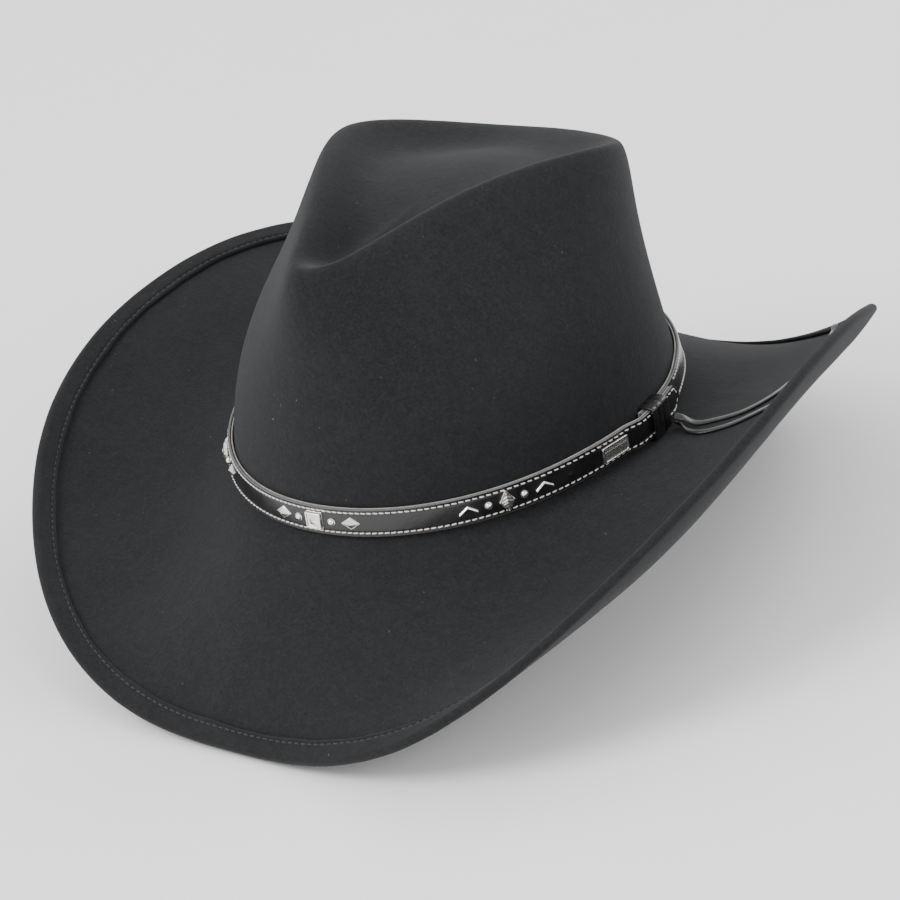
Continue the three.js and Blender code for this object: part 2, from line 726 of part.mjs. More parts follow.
// A flat strip bent once to a point.
function chevronStud() {
  const half = 4;
  const foot = -1.6;
  const peak = 1.1;
  const limb = 1.15;
  const outline = new THREE.Shape();
  outline.moveTo(-half, foot);
  outline.lineTo(0, peak);
  outline.lineTo(half, foot);
  outline.lineTo(half, foot + limb);
  outline.lineTo(0, peak + limb);
  outline.lineTo(-half, foot + limb);
  return new THREE.ExtrudeGeometry(outline, { depth: 1.1, bevelEnabled: false });
}

function plateShape() {
  const halfLength = 7.3;
  const halfWidth = 3.7;
  const outline = new THREE.Shape();
  roundedBox(outline, -halfLength, -halfWidth, halfLength, halfWidth, 0.8);
  return new THREE.ExtrudeGeometry(outline, { depth: 1, bevelEnabled: false });
}

// Each group: its name, its path angle, and its studs as [name, shape, offset in degrees].
const SQUARE_GROUP = [
  ["diamond_a", diamondStud, -10.7],
  ["ball_a", ballStud, -5.2],
  ["square", squareStud, 0],
  ["ball_b", ballStud, 5.2],
  ["diamond_b", diamondStud, 10.7],
];
const RHOMBUS_GROUP = [
  ["chevron_a", chevronStud, -9.2],
  ["ball_a", ballStud, -4.3],
  ["rhombus", rhombusStud, 0],
  ["ball_b", ballStud, 4.3],
  ["chevron_b", chevronStud, 9.2],
];
const CONCHO_GROUP = [
  ["diamond_a", diamondStud, -10.2],
  ["ball_a", ballStud, -5],
  ["concho", conchoStud, 0],
  ["ball_b", ballStud, 5],
  ["diamond_b", diamondStud, 10.2],
];
const STUD_GROUPS = [
  ["front", 4, SQUARE_GROUP],
  ["left", 53.5, RHOMBUS_GROUP],
  ["rear", 160, CONCHO_GROUP],
  ["rear_right", 211, RHOMBUS_GROUP],
  ["right", 262, SQUARE_GROUP],
  ["front_right", 312, CONCHO_GROUP],
];
const STUD_PROUD = PLY + TOUCHING_GAP;
const COVERS_THREAD = [rhombusStud, conchoStud];
const PLATE_ANGLE = 82;

// Path angles run from the strap's hidden end, so the front stations come a full turn later.
function pathAngle(angle) {
  return angle < PATH_START ? angle + 360 : angle;
}

STUD_GROUPS.forEach(([group, angle, studs]) => {
  studs.forEach(([name, shape, offset]) => {
    const stud = addMesh(hatband, `stud_${group}_${name}`, shape(), "silver");
    const lift = COVERS_THREAD.includes(shape) ? OVER_THREAD_LIFT : 0;
    placeOnStrap(stud, pathAngle(angle + offset), STUD_PROUD + lift, STRAP_WIDTH / 2);
  });
});

const plate = addMesh(hatband, "plate", plateShape(), "silver");
placeOnStrap(plate, pathAngle(PLATE_ANGLE), STUD_PROUD + PLATE_LIFT, STRAP_WIDTH / 2);

const hat = new THREE.Group();
hat.add(hatBody, hatband);
export default hat;
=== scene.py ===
# Western hat: detailed felt, leather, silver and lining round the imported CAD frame.
# The shape functions work in millimetres, in the row frame; objects are built in metres.
import math

import bmesh
import bpy
import numpy as np
from mathutils import Matrix, Vector, noise


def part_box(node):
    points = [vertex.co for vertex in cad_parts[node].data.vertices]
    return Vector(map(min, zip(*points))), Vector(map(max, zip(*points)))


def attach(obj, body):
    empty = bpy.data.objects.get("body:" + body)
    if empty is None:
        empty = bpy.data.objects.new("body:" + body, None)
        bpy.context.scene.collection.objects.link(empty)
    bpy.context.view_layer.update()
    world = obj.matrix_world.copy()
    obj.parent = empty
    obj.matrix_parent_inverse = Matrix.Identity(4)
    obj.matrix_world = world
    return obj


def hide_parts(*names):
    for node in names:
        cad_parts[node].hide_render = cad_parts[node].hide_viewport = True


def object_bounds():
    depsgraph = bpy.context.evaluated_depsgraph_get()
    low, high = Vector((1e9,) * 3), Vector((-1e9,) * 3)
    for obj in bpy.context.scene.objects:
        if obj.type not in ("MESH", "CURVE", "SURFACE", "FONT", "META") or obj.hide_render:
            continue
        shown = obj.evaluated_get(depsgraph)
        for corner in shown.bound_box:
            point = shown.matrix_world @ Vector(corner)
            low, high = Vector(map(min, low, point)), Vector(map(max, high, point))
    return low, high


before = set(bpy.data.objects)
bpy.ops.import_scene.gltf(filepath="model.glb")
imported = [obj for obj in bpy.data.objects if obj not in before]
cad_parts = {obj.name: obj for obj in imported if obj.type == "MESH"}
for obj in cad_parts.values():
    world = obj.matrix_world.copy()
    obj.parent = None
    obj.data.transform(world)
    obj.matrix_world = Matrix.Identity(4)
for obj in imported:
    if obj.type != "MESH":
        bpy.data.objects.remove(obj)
cad_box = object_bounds()
MM = 0.001
DEG = math.pi / 180
UP = np.array([0.0, 0.0, 1.0])

# ------------------------------------------------------------------ camera
CAMERA_AZIMUTH = 42
CAMERA_ELEVATION = 27
CAMERA_ROLL = -11.2
CAMERA_DISTANCE = 1.887
CAMERA_LENS = 175
CAMERA_SHIFT = (-0.0072, -0.0374)


def make_camera():
    azimuth, elevation, roll = (a * DEG for a in (CAMERA_AZIMUTH, CAMERA_ELEVATION, CAMERA_ROLL))
    back = Vector(
        (
            math.sin(azimuth) * math.cos(elevation),
            -math.cos(azimuth) * math.cos(elevation),
            math.sin(elevation),
        )
    )
    right = Vector((math.cos(azimuth), math.sin(azimuth), 0))
    up = back.cross(right)
    across = right * math.cos(roll) + up * math.sin(roll)
    upward = up * math.cos(roll) - right * math.sin(roll)
    data = bpy.data.cameras.new("camera")
    data.lens = CAMERA_LENS
    data.sensor_width = 36
    data.shift_x, data.shift_y = CAMERA_SHIFT
    data.clip_end = 50
    camera = bpy.data.objects.new("camera", data)
    bpy.context.scene.collection.objects.link(camera)
    turn = Matrix((across, upward, back)).transposed().to_4x4()
    camera.matrix_world = Matrix.Translation(back * CAMERA_DISTANCE) @ turn
    bpy.context.scene.camera = camera


make_camera()

# ------------------------------------------------------------------ the hat's shape, as in its CAD
HEAD_HALF_LENGTH = 103.5
HEAD_HALF_WIDTH = 94
HEAD_EGG = 0.03
FELT = 2.4
BRIM_CURL_POWER = 1.72
RIDGE_HALF_LENGTH = 91
RIDGE_SETBACK = 6
RIDGE_SIDE_SHIFT = 5.5
LOWER_WALL_SHARE = 0.33
UPPER_WALL_SHARE = 0.7
CREASE_RING = 0.68
DOME_RING = 0.4
DOME_CENTRE_Y = 3
DOME_HEIGHT = 106
DOME_RISE_TO_REAR = 0.09
HEM_WIDTH = 10.5
HEM_FLAP = 2.1
HEM_SLIT = 0.3
WIRE_CHANNEL_RADIUS = 1.1
FOLD_RADIUS = (FELT + HEM_SLIT + HEM_FLAP) / 2
STRAP_WIDTH = 12.5
STRAP_RAISE = 2.8
FACE_THICKNESS = 1.1
BACKING_THICKNESS = 0.7
STRAP_STANDOFF = 0.6
STITCH_INSET = 1.6
OVERLAP_GAP = 0.3
TOUCHING_GAP = 0.3
KEEPER_ANGLE = 97
STRAP_OVERLAP_ANGLE = 5
STRAP_TONGUE_ANGLE = 11
STRAP_POINT_ANGLE = 3
POINT_SHARE = 0.85
RAMP_ANGLE = 6.5
KEEPER_HALF_ANGLE = 8
LIFT_FADE_ANGLE = 24
LEATHER_WRAP = 1
WRAP_WIDTHS = (3.2, 3.2, 5)
WRAP_SPACING = 0.4
MILLIMETRES_PER_DEGREE = 1.82
PLY = FACE_THICKNESS + TOUCHING_GAP + BACKING_THICKNESS
PATH_START = KEEPER_ANGLE - STRAP_OVERLAP_ANGLE
PATH_END = KEEPER_ANGLE + 360 + STRAP_TONGUE_ANGLE
KEEPER_LIFT = LEATHER_WRAP + 2 * TOUCHING_GAP


# A smooth closed curve through station values 45 degrees apart, by trigonometric interpolation.
def around_hat(*values):
    values = np.array(values, float)
    count = len(values)
    stations = np.arange(count) * 2 * np.pi / count

    def at(angle):
        x = np.asarray(angle, float)[..., None] - stations
        near = np.abs(np.sin(x / 2)) < 1e-9
        tangent = np.where(near, 1, np.tan(x / 2))
        weight = np.where(near, 1, np.sin(count * x / 2) / (count * tangent))
        return weight @ values

    return at


break_height = around_hat(-1, -1.5, 1, 0.5, -2, 0, 1, -0.5)
brim_width = around_hat(98.5, 105.5, 98, 93.5, 85, 94.5, 96, 102.5)
brim_start = around_hat(-29, -34, -1, -20, -32, -2, 8, -40)
brim_end = around_hat(-62, 43, 73, 50, -46, 12, 25, 43)
ridge_half_width = around_hat(24, 24, 54, 82, 82, 82, 54, 24)
ridge_height = around_hat(122.5, 126, 133, 118, 102.5, 113.5, 131.5, 125.5)
lower_bulge = around_hat(5, 14.5, 15.5, -3.5, 2, -2.5, 15, 12)
upper_bulge = around_hat(-1, 1.5, 0, -4.5, 1, -3.5, -1, 1.5)
crease_depth = around_hat(28, 31, 22, 20, 10, 20, 23, 29)


def unit(v):
    return v / np.linalg.norm(v, axis=-1, keepdims=True)


def stack(x, y, z):
    return np.stack(np.broadcast_arrays(x, y, z), -1).astype(float)


def head_oval(angle):
    sin, cos = np.sin(angle), np.cos(angle)
    point = stack(HEAD_HALF_WIDTH * sin * (1 - HEAD_EGG * cos), -HEAD_HALF_LENGTH * cos, break_height(angle))
    along_x = HEAD_HALF_WIDTH * (cos - HEAD_EGG * (cos * cos - sin * sin))
    return point, unit(stack(HEAD_HALF_LENGTH * sin, -along_x, 0 * sin))


BRIM_STEPS = 20


# The brim at `reach` out from the break: place, outgoing direction and upward normal.
def brim_frame(angle, reach):
    angle, reach = np.broadcast_arrays(np.asarray(angle, float), np.asarray(reach, float))
    point, outward = head_oval(angle)
    width = brim_width(angle)
    start = brim_start(angle) * DEG
    change = brim_end(angle) * DEG - start
    step = (reach / BRIM_STEPS)[..., None]
    for i in range(BRIM_STEPS):
        share = np.maximum((i + 0.5) * reach / BRIM_STEPS / width, 0)
        slope = (start + change * share**BRIM_CURL_POWER)[..., None]
        point = point + step * (outward * np.cos(slope) + UP * np.sin(slope))
    slope = (start + change * np.maximum(reach / width, 0) ** BRIM_CURL_POWER)[..., None]
    return point, outward * np.cos(slope) + UP * np.sin(slope), UP * np.cos(slope) - outward * np.sin(slope)


def brim_point(angle, reach, height):
    point, _, normal = brim_frame(angle, reach)
    return point + normal * np.asarray(height, float)[..., None]


CROWN_KNOTS = np.array([0, 0, 0, 0, 0.25, 0.5, 0.75, 1, 1, 1, 1])
CUBIC = 3


def spline_weights(share):
    share = np.clip(np.asarray(share, float), 0, 1 - 1e-9)[..., None]
    weight = ((share >= CROWN_KNOTS[:-1]) & (share < CROWN_KNOTS[1:])).astype(float)
    for degree in range(1, CUBIC + 1):
        count = len(CROWN_KNOTS) - 1 - degree
        rise = CROWN_KNOTS[degree : degree + count] - CROWN_KNOTS[:count]
        fall = CROWN_KNOTS[degree + 1 : degree + 1 + count] - CROWN_KNOTS[1 : 1 + count]
        up = (share - CROWN_KNOTS[:count]) / np.where(rise > 0, rise, 1)
        down = (CROWN_KNOTS[degree + 1 : degree + 1 + count] - share) / np.where(fall > 0, fall, 1)
        rising = weight[..., :count] * np.where(rise > 0, up, 0)
        falling = weight[..., 1 : count + 1] * np.where(fall > 0, down, 0)
        weight = rising + falling
    return weight


def crown_controls(angle):
    foot, outward = head_oval(angle)
    ridge = stack(
        RIDGE_SIDE_SHIFT + ridge_half_width(angle) * np.sin(angle),
        RIDGE_SETBACK - RIDGE_HALF_LENGTH * np.cos(angle),
        ridge_height(angle),
    )
    lower = foot + (ridge - foot) * LOWER_WALL_SHARE + outward * lower_bulge(angle)[..., None]
    upper = foot + (ridge - foot) * UPPER_WALL_SHARE + outward * upper_bulge(angle)[..., None]
    middle = np.broadcast_to(np.array([RIDGE_SIDE_SHIFT, DOME_CENTRE_Y, DOME_HEIGHT], float), foot.shape)
    valley = middle + (ridge - middle) * CREASE_RING
    valley[..., 2] = ridge[..., 2] - crease_depth(angle)
    shoulder = middle + (ridge - middle) * DOME_RING
    shoulder[..., 2] = DOME_HEIGHT + DOME_RISE_TO_REAR * (shoulder[..., 1] - DOME_CENTRE_Y)
    return np.stack([foot, lower, upper, ridge, valley, shoulder, middle], -2)


def crown_point(angle, share):
    angle, share = np.broadcast_arrays(np.asarray(angle, float), np.asarray(share, float))
    return np.einsum("...k,...kc->...c", spline_weights(share), crown_controls(angle))


PROBE = 0.004


def crown_normal(angle, share):
    climb = crown_point(angle, np.minimum(share + PROBE, 1)) - crown_point(angle, np.maximum(share - PROBE, 0))
    return unit(np.cross(crown_point(angle + PROBE, share) - crown_point(angle - PROBE, share), climb))


def inside_crown(angle, share, depth):
    return crown_point(angle, share) - crown_normal(angle, share) * depth


def share_at_height(angle, height):
    wanted = break_height(angle) + height
    low = np.zeros(np.shape(wanted))
    high = np.full(np.shape(wanted), 0.5)
    for _ in range(24):
        middle = (low + high) / 2
        below = crown_point(angle, middle)[..., 2] < wanted
        low = np.where(below, middle, low)
        high = np.where(below, high, middle)
    return low


# ------------------------------------------------------------------ the band's shape
def band_frame(angle):
    angle = np.asarray(angle, float)
    foot, _ = head_oval(angle)
    wall = crown_point(angle, share_at_height(angle, STRAP_RAISE + STRAP_WIDTH))
    up = unit(wall - foot)
    ahead = head_oval(angle + PROBE)[0] - head_oval(angle - PROBE)[0]
    outward = unit(np.cross(ahead, up))
    return foot, up, outward, unit(np.cross(up, outward))


def smooth_step(low, high, value):
    share = np.clip((value - low) / (high - low), 0, 1)
    return share * share * (3 - 2 * share)


def strap_standoff(path):
    path = np.asarray(path, float)
    from_keeper = np.abs(np.fmod(path - KEEPER_ANGLE + 180, 360) - 180)
    lift = (KEEPER_LIFT - STRAP_STANDOFF) * (1 - smooth_step(KEEPER_HALF_ANGLE, LIFT_FADE_ANGLE, from_keeper))
    overlap = (PLY + OVERLAP_GAP) * smooth_step(PATH_START + 360 - RAMP_ANGLE, PATH_START + 359, path)
    return STRAP_STANDOFF + lift + overlap


def band_point(path, proud, height):
    path, proud, height = np.broadcast_arrays(*(np.asarray(v, float) for v in (path, proud, height)))
    foot, up, outward, _ = band_frame(path * DEG)
    return foot + outward * (strap_standoff(path) + proud)[..., None] + up * (STRAP_RAISE + height)[..., None]


# A place on the strap as a 4 by 4 matrix: x forward along the strap, y up and z outward.
def on_strap(path, proud, height):
    up = band_frame(path * DEG)[1]
    forward = unit(band_point(path + 1, proud, height) - band_point(path - 1, proud, height))
    outward = unit(np.cross(forward, up))
    place = np.eye(4)
    place[:3, 0], place[:3, 1], place[:3, 2] = forward, np.cross(outward, forward), outward
    place[:3, 3] = band_point(path, proud, height)
    return place


# ------------------------------------------------------------------ mesh helpers
def grid_faces(rows, columns, wrap_rows=False, wrap_columns=True, base=0):
    row = np.arange(rows if wrap_rows else rows - 1)
    column = np.arange(columns if wrap_columns else columns - 1)
    r, c = np.meshgrid(row, column, indexing="ij")
    r2, c2 = (r + 1) % rows, (c + 1) % columns
    quads = np.stack([r * columns + c, r2 * columns + c, r2 * columns + c2, r * columns + c2], -1)
    return (quads.reshape(-1, 4) + base).tolist()


# A bar through sections, an array of rows by points round each section; its ends are closed.
def bar(sections, joined=False):
    rows, columns = sections.shape[:2]
    faces = grid_faces(rows, columns, wrap_rows=joined)
    points = sections.reshape(-1, 3)
    if not joined:
        ends = [sections[0].mean(0), sections[-1].mean(0)]
        points = np.concatenate([points, ends])
        last = (rows - 1) * columns
        for c in range(columns):
            n = (c + 1) % columns
            faces.append([rows * columns, c, n])
            faces.append([rows * columns + 1, last + n, last + c])
    return points, faces


def join(parts):
    points, faces, base = [], [], 0
    for p, f in parts:
        points.append(p)
        faces += [[i + base for i in face] for face in f]
        base += len(p)
    return np.concatenate(points), faces


def piece(name, points, faces, look, body, slot, nodes=(), sharp=None, bevel=0, attributes=None):
    mesh = bpy.data.meshes.new(name)
    mesh.from_pydata((np.asarray(points) * MM).tolist(), [], faces)
    work = bmesh.new()
    work.from_mesh(mesh)
    if bevel:
        edges = [e for e in work.edges if len(e.link_faces) == 2 and e.calc_face_angle(0) > 0.3]
        bmesh.ops.bevel(
            work,
            geom=edges,
            offset=bevel * MM,
            segments=2,
            profile=0.6,
            affect="EDGES",
            clamp_overlap=True,
        )
    bmesh.ops.recalc_face_normals(work, faces=work.faces)
    work.to_mesh(mesh)
    work.free()
    mesh.shade_smooth()
    if sharp:
        mesh.set_sharp_from_angle(angle=sharp * DEG)
    for key, values in (attributes or {}).items():
        layer = mesh.attributes.new(key, "FLOAT", "POINT")
        layer.data.foreach_set("value", np.asarray(values, np.float32).ravel())
    mesh.materials.append(look)
    made = bpy.data.objects.new(name, mesh)
    bpy.context.scene.collection.objects.link(made)
    if nodes:
        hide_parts(*nodes)
    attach(made, body)
    return made


# ------------------------------------------------------------------ materials
class Look:
    """A material and short ways to add and join its nodes."""

    def __init__(self, name):
        self.material = bpy.data.materials.new(name)
        self.material.use_nodes = True
        self.tree = self.material.node_tree
        self.shader = self.tree.nodes["Principled BSDF"]
        self.coords = self.add("ShaderNodeTexCoord").outputs["Object"]

    def add(self, kind, inputs=None, **settings):
        made = self.tree.nodes.new(kind)
        for key, value in settings.items():
            setattr(made, key, value)
        for key, value in (inputs or {}).items():
            self.put(made.inputs[key], value)
        return made

    def put(self, socket, value):
        if isinstance(value, bpy.types.NodeSocket):
            self.tree.links.new(value, socket)
        else:
            socket.default_value = value

    def stretch(self, scale, turn=(0, 0, 0)):
        made = self.add("ShaderNodeMapping", {"Vector": self.coords, "Scale": scale, "Rotation": turn})
        return made.outputs["Vector"]

    def noise(self, scale, detail=3.0, rough=0.5, distortion=0.0, vector=None):
        made = self.add(
            "ShaderNodeTexNoise",
            {
                "Vector": vector or self.coords,
                "Scale": scale,
                "Detail": detail,
                "Roughness": rough,
                "Distortion": distortion,
            },
        )
        return made.outputs["Fac"]

    def cells(self, scale, feature="F1", vector=None, output="Distance", spread=1.0):
        made = self.add(
            "ShaderNodeTexVoronoi",
            {"Vector": vector or self.coords, "Scale": scale, "Randomness": spread},
            feature=feature,
        )
        return made.outputs[output]

    def math(self, operation, a, b=0.0, clamp=False):
        made = self.add("ShaderNodeMath", operation=operation, use_clamp=clamp)
        self.put(made.inputs[0], a)
        self.put(made.inputs[1], b)
        return made.outputs[0]

    def span(self, value, low, high, to_low=0.0, to_high=1.0):
        made = self.add(
            "ShaderNodeMapRange",
            {"Value": value, "From Min": low, "From Max": high, "To Min": to_low, "To Max": to_high},
            interpolation_type="SMOOTHSTEP",
        )
        return made.outputs["Result"]

    def mix(self, share, a, b):
        made = self.add("ShaderNodeMix", data_type="RGBA")
        self.put(made.inputs["Factor"], share)
        self.put(made.inputs[6], a)
        self.put(made.inputs[7], b)
        return made.outputs[2]

    def attribute(self, name):
        return self.add("ShaderNodeAttribute", attribute_name=name).outputs["Fac"]

    def bump(self, height, strength, distance, normal=None):
        made = self.add("ShaderNodeBump", {"Height": height, "Strength": strength, "Distance": distance})
        if normal:
            self.put(made.inputs["Normal"], normal)
        return made.outputs["Normal"]

    def finish(self, color=None, roughness=None, normal=None, **fixed):
        for key, value in (("Base Color", color), ("Roughness", roughness), ("Normal", normal)):
            if value is not None:
                self.put(self.shader.inputs[key], value)
        for key, value in fixed.items():
            self.shader.inputs[key.replace("_", " ")].default_value = value
        return self.material


def felt_look():
    look = Look("wool_felt")
    patches = look.span(look.noise(22, 5, 0.6), 0.3, 0.7)
    fibres = look.span(look.noise(900, 4, 0.65, 0.6), 0.32, 0.7)
    clumps = look.span(look.noise(260, 5, 0.6, 0.8), 0.35, 0.68)
    color = look.mix(patches, (0.0075, 0.008, 0.0088, 1), (0.0105, 0.0112, 0.0122, 1))
    color = look.mix(look.math("MULTIPLY", fibres, 0.6), color, (0.028, 0.0295, 0.031, 1))
    color = look.mix(look.math("MULTIPLY", clumps, 0.3), color, (0.0055, 0.0058, 0.0063, 1))
    # short pale fibres of lint, few and far between
    warp = look.add("ShaderNodeTexNoise", {"Vector": look.coords, "Scale": 160.0, "Detail": 2.0})
    centred = {0: warp.outputs["Color"], 1: (0.5, 0.5, 0.5)}
    bent = look.add("ShaderNodeVectorMath", centred, operation="SUBTRACT")
    bent = look.add("ShaderNodeVectorMath", {0: bent.outputs[0], "Scale": 0.006}, operation="SCALE")
    bent = look.add("ShaderNodeVectorMath", {0: look.coords, 1: bent.outputs[0]}, operation="ADD").outputs[0]
    for turn, pick in (((0.5, 0.2, 0.9), 0.86), ((1.9, 1.1, 0.3), 0.88)):
        vector = look.add(
            "ShaderNodeMapping", {"Vector": bent, "Scale": (1.0, 1.0, 0.28), "Rotation": turn}
        ).outputs["Vector"]
        near = look.span(look.cells(300, vector=vector), 0.045, 0.07, 1, 0)
        chosen = look.cells(300, vector=vector, output="Color")
        chosen = look.add("ShaderNodeSeparateColor", {"Color": chosen}).outputs[0]
        chosen = look.math("GREATER_THAN", chosen, pick)
        lint = look.math("MULTIPLY", look.math("MULTIPLY", near, chosen), 0.45)
        color = look.mix(lint, color, (0.2, 0.2, 0.195, 1))
    nap = look.bump(look.noise(620, 5, 0.7, 0.7), 0.55, 0.0007)
    nap = look.bump(look.noise(2300, 3, 0.6, 0.4), 0.35, 0.0003, nap)
    nap = look.bump(look.noise(70, 4, 0.55), 0.25, 0.0012, nap)
    return look.finish(
        color,
        look.span(fibres, 0, 1, 0.82, 0.98),
        nap,
        Sheen_Weight=0.09,
        Sheen_Roughness=0.5,
        Sheen_Tint=(0.72, 0.76, 0.8, 1),
        Specular_IOR_Level=0.14,
    )


def leather_look(name, dark, light, roughness, coat, grain=1300):
    look = Look(name)
    pores = look.cells(grain, "SMOOTH_F1")
    folds = look.noise(160, 5, 0.6, 0.5)
    color = look.mix(look.span(folds, 0.3, 0.75), dark, light)
    worn = tuple(3 * c for c in light[:3]) + (1,)
    color = look.mix(look.span(look.noise(2600, 2), 0.55, 0.8, 0, 0.35), color, worn)
    rough = look.math(
        "ADD", look.span(folds, 0.2, 0.8, roughness - 0.06, roughness + 0.1), look.span(pores, 0, 0.6, 0.06, 0)
    )
    normal = look.bump(pores, 0.35, 0.00025)
    normal = look.bump(folds, 0.3, 0.0006, normal)
    return look.finish(color, rough, normal, Coat_Weight=coat, Coat_Roughness=0.22)


# The strap's leather: glossy black on its face, pale and duller where it is cut.
def strap_look():
    look = Look("strap_leather")
    pores = look.cells(1500, "SMOOTH_F1")
    folds = look.noise(150, 5, 0.6, 0.6)
    face = look.mix(look.span(folds, 0.3, 0.75), (0.0045, 0.0045, 0.005, 1), (0.011, 0.011, 0.012, 1))
    face = look.mix(look.span(look.noise(2100, 2), 0.58, 0.8, 0, 0.3), face, (0.05, 0.05, 0.052, 1))
    cut = look.span(look.noise(1700, 4, 0.7), 0.3, 0.7)
    cut = look.mix(cut, (0.07, 0.07, 0.072, 1), (0.17, 0.17, 0.17, 1))
    edge = look.attribute("cut_edge")
    color = look.mix(edge, face, cut)
    rough = look.math("ADD", look.span(folds, 0.2, 0.8, 0.26, 0.4), look.math("MULTIPLY", edge, 0.4))
    normal = look.bump(pores, 0.3, 0.0002)
    normal = look.bump(folds, 0.35, 0.0006, normal)
    return look.finish(color, rough, normal, Coat_Weight=0.35, Coat_Roughness=0.2)


def thread_look(name, color, pale, scale=1900):
    look = Look(name)
    strands = look.noise(scale, 3, 0.6, 1.2)
    tone = look.mix(look.span(strands, 0.3, 0.7), color, pale)
    along = look.stretch((1, 1, 0.6), (0.6, 0.3, 0.8))
    twist = look.add("ShaderNodeTexWave", {"Vector": along, "Scale": 900.0})
    normal = look.bump(twist.outputs["Fac"], 0.5, 0.0002)
    return look.finish(tone, look.span(strands, 0.2, 0.8, 0.6, 0.85), normal, Sheen_Weight=0.2)


def silver_look():
    look = Look("silver")
    marks = look.noise(900, 4, 0.6, 0.5, look.stretch((1, 1, 5), (0.4, 0.7, 0.2)))
    cloud = look.noise(220, 4, 0.6)
    hidden = look.add("ShaderNodeAmbientOcclusion", {"Distance": 0.0008}, samples=8).outputs["AO"]
    shaded = look.span(hidden, 0.3, 0.8, 0.45, 0)
    color = look.mix(look.span(cloud, 0.3, 0.7), (0.9, 0.87, 0.81, 1), (0.96, 0.945, 0.91, 1))
    color = look.mix(shaded, color, (0.2, 0.17, 0.14, 1))
    rough = look.span(marks, 0.25, 0.75, 0.2, 0.34)
    return look.finish(color, rough, look.bump(marks, 0.12, 0.0001), Metallic=1.0)


def satin_look(name, dark, light):
    look = Look(name)
    weave = {"Vector": look.coords, "Scale": 1400.0, "Distortion": 0.4}
    warp = look.add("ShaderNodeTexWave", weave, bands_direction="Z")
    cloud = look.noise(90, 4, 0.5)
    color = look.mix(look.span(cloud, 0.3, 0.7), dark, light)
    normal = look.bump(warp.outputs["Fac"], 0.15, 0.0001)
    return look.finish(
        color, look.span(cloud, 0.2, 0.8, 0.32, 0.45), normal, Sheen_Weight=0.3, Anisotropic=0.5
    )


def steel_look():
    look = Look("wire_steel")
    marks = look.noise(1200, 4, 0.6, 0.3, look.stretch((1, 1, 8)))
    color = look.mix(marks, (0.42, 0.43, 0.44, 1), (0.6, 0.61, 0.62, 1))
    rough = look.span(marks, 0.2, 0.8, 0.25, 0.45)
    return look.finish(color, rough, look.bump(marks, 0.2, 0.0001), Metallic=1.0)


FELT_LOOK = felt_look()
STRAP_LOOK = strap_look()
WRAP_LOOK = leather_look("thong_leather", (0.005, 0.005, 0.0055, 1), (0.012, 0.012, 0.013, 1), 0.3, 0.35)
SWEAT_LOOK = leather_look(
    "sweatband_leather", (0.012, 0.008, 0.006, 1), (0.026, 0.017, 0.012, 1), 0.45, 0.1, 900
)
BACKING_LOOK = leather_look("backing_leather", (0.2, 0.19, 0.175, 1), (0.32, 0.31, 0.29, 1), 0.75, 0.0, 1700)
WHITE_THREAD = thread_look("white_thread", (0.5, 0.48, 0.44, 1), (0.85, 0.83, 0.79, 1))
DARK_THREAD = thread_look("dark_thread", (0.006, 0.006, 0.0065, 1), (0.028, 0.028, 0.03, 1))
SILVER = silver_look()
SATIN = satin_look("lining_satin", (0.006, 0.0065, 0.008, 1), (0.016, 0.017, 0.02, 1))
WIRE = steel_look()

def hat_wave(points):
    """The felt's unevenness at these points, so that what lies on it follows."""
    wide = [noise.noise(Vector(p * 0.02)) for p in points]
    near = [noise.noise(Vector(p * 0.09)) for p in points]
    return np.array(wide) * 0.55 + np.array(near) * 0.12


# ------------------------------------------------------------------ laces, the free cords
LACE_WIDTH = 3
LACE_THICKNESS = 1.1
LACE_LYING = 0.85
HEM_CLIMB = 2.3
# Each route: angle round the hat in degrees, distance out from the break, height above the brim.
LACE_ROUTES = {
    "lace_lower": [
        (100.7, 9.5, 2.6),
        (100.3, 12.5, 2),
        (98.9, 17, 1.6),
        (98.4, 22, 1.6),
        (98.8, 27, 1.6),
        (99.7, 32, 1.6),
        (100.7, 37, 1.6),
        (101.9, 41.5, 1.6),
        (103.1, 46, 1.6),
        (104.3, 51.5, 1.6),
        (105.3, 57, 1.6),
        (107.6, 61.5, 1.6),
        (111.3, 64.2, 2),
        (116, 65.6, 2.8),
        (121.2, 66, 3.4),
        (126.4, 66, 3.6),
        (131.4, 66.6, 3.8),
        (136, 68.3, 4),
        (140.2, 71.6, 4),
        (143.6, 75.8, 4),
        (146.3, 80.8, 4),
    ],
    "lace_upper": [
        (100.7, 9.2, 5.6),
        (101.3, 12.5, 4.4),
        (101.6, 17, 2.8),
        (102.3, 21.5, 1.6),
        (103.1, 26, 1.6),
        (104, 31, 1.6),
        (105.2, 36.5, 1.6),
        (106.9, 41.8, 1.6),
        (108.7, 45.8, 1.6),
        (111, 49.3, 1.6),
        (114, 52, 1.6),
        (117.4, 53.6, 1.6),
        (121, 54.2, 1.6),
    ],
}


# A smooth curve through points, each interval cut into `cuts` steps.
def through(points, cuts):
    points = np.asarray(points, float)
    padded = np.concatenate([[2 * points[0] - points[1]], points, [2 * points[-1] - points[-2]]])
    made = []
    for i in range(len(points) - 1):
        p0, p1, p2, p3 = padded[i : i + 4]
        for u in np.arange(cuts) / cuts:
            made.append(
                0.5
                * (
                    2 * p1
                    + (p2 - p0) * u
                    + (2 * p0 - 5 * p1 + 4 * p2 - p3) * u * u
                    + (3 * p1 - p0 - 3 * p2 + p3) * u**3
                )
            )
    made.append(points[-1])
    return np.array(made)


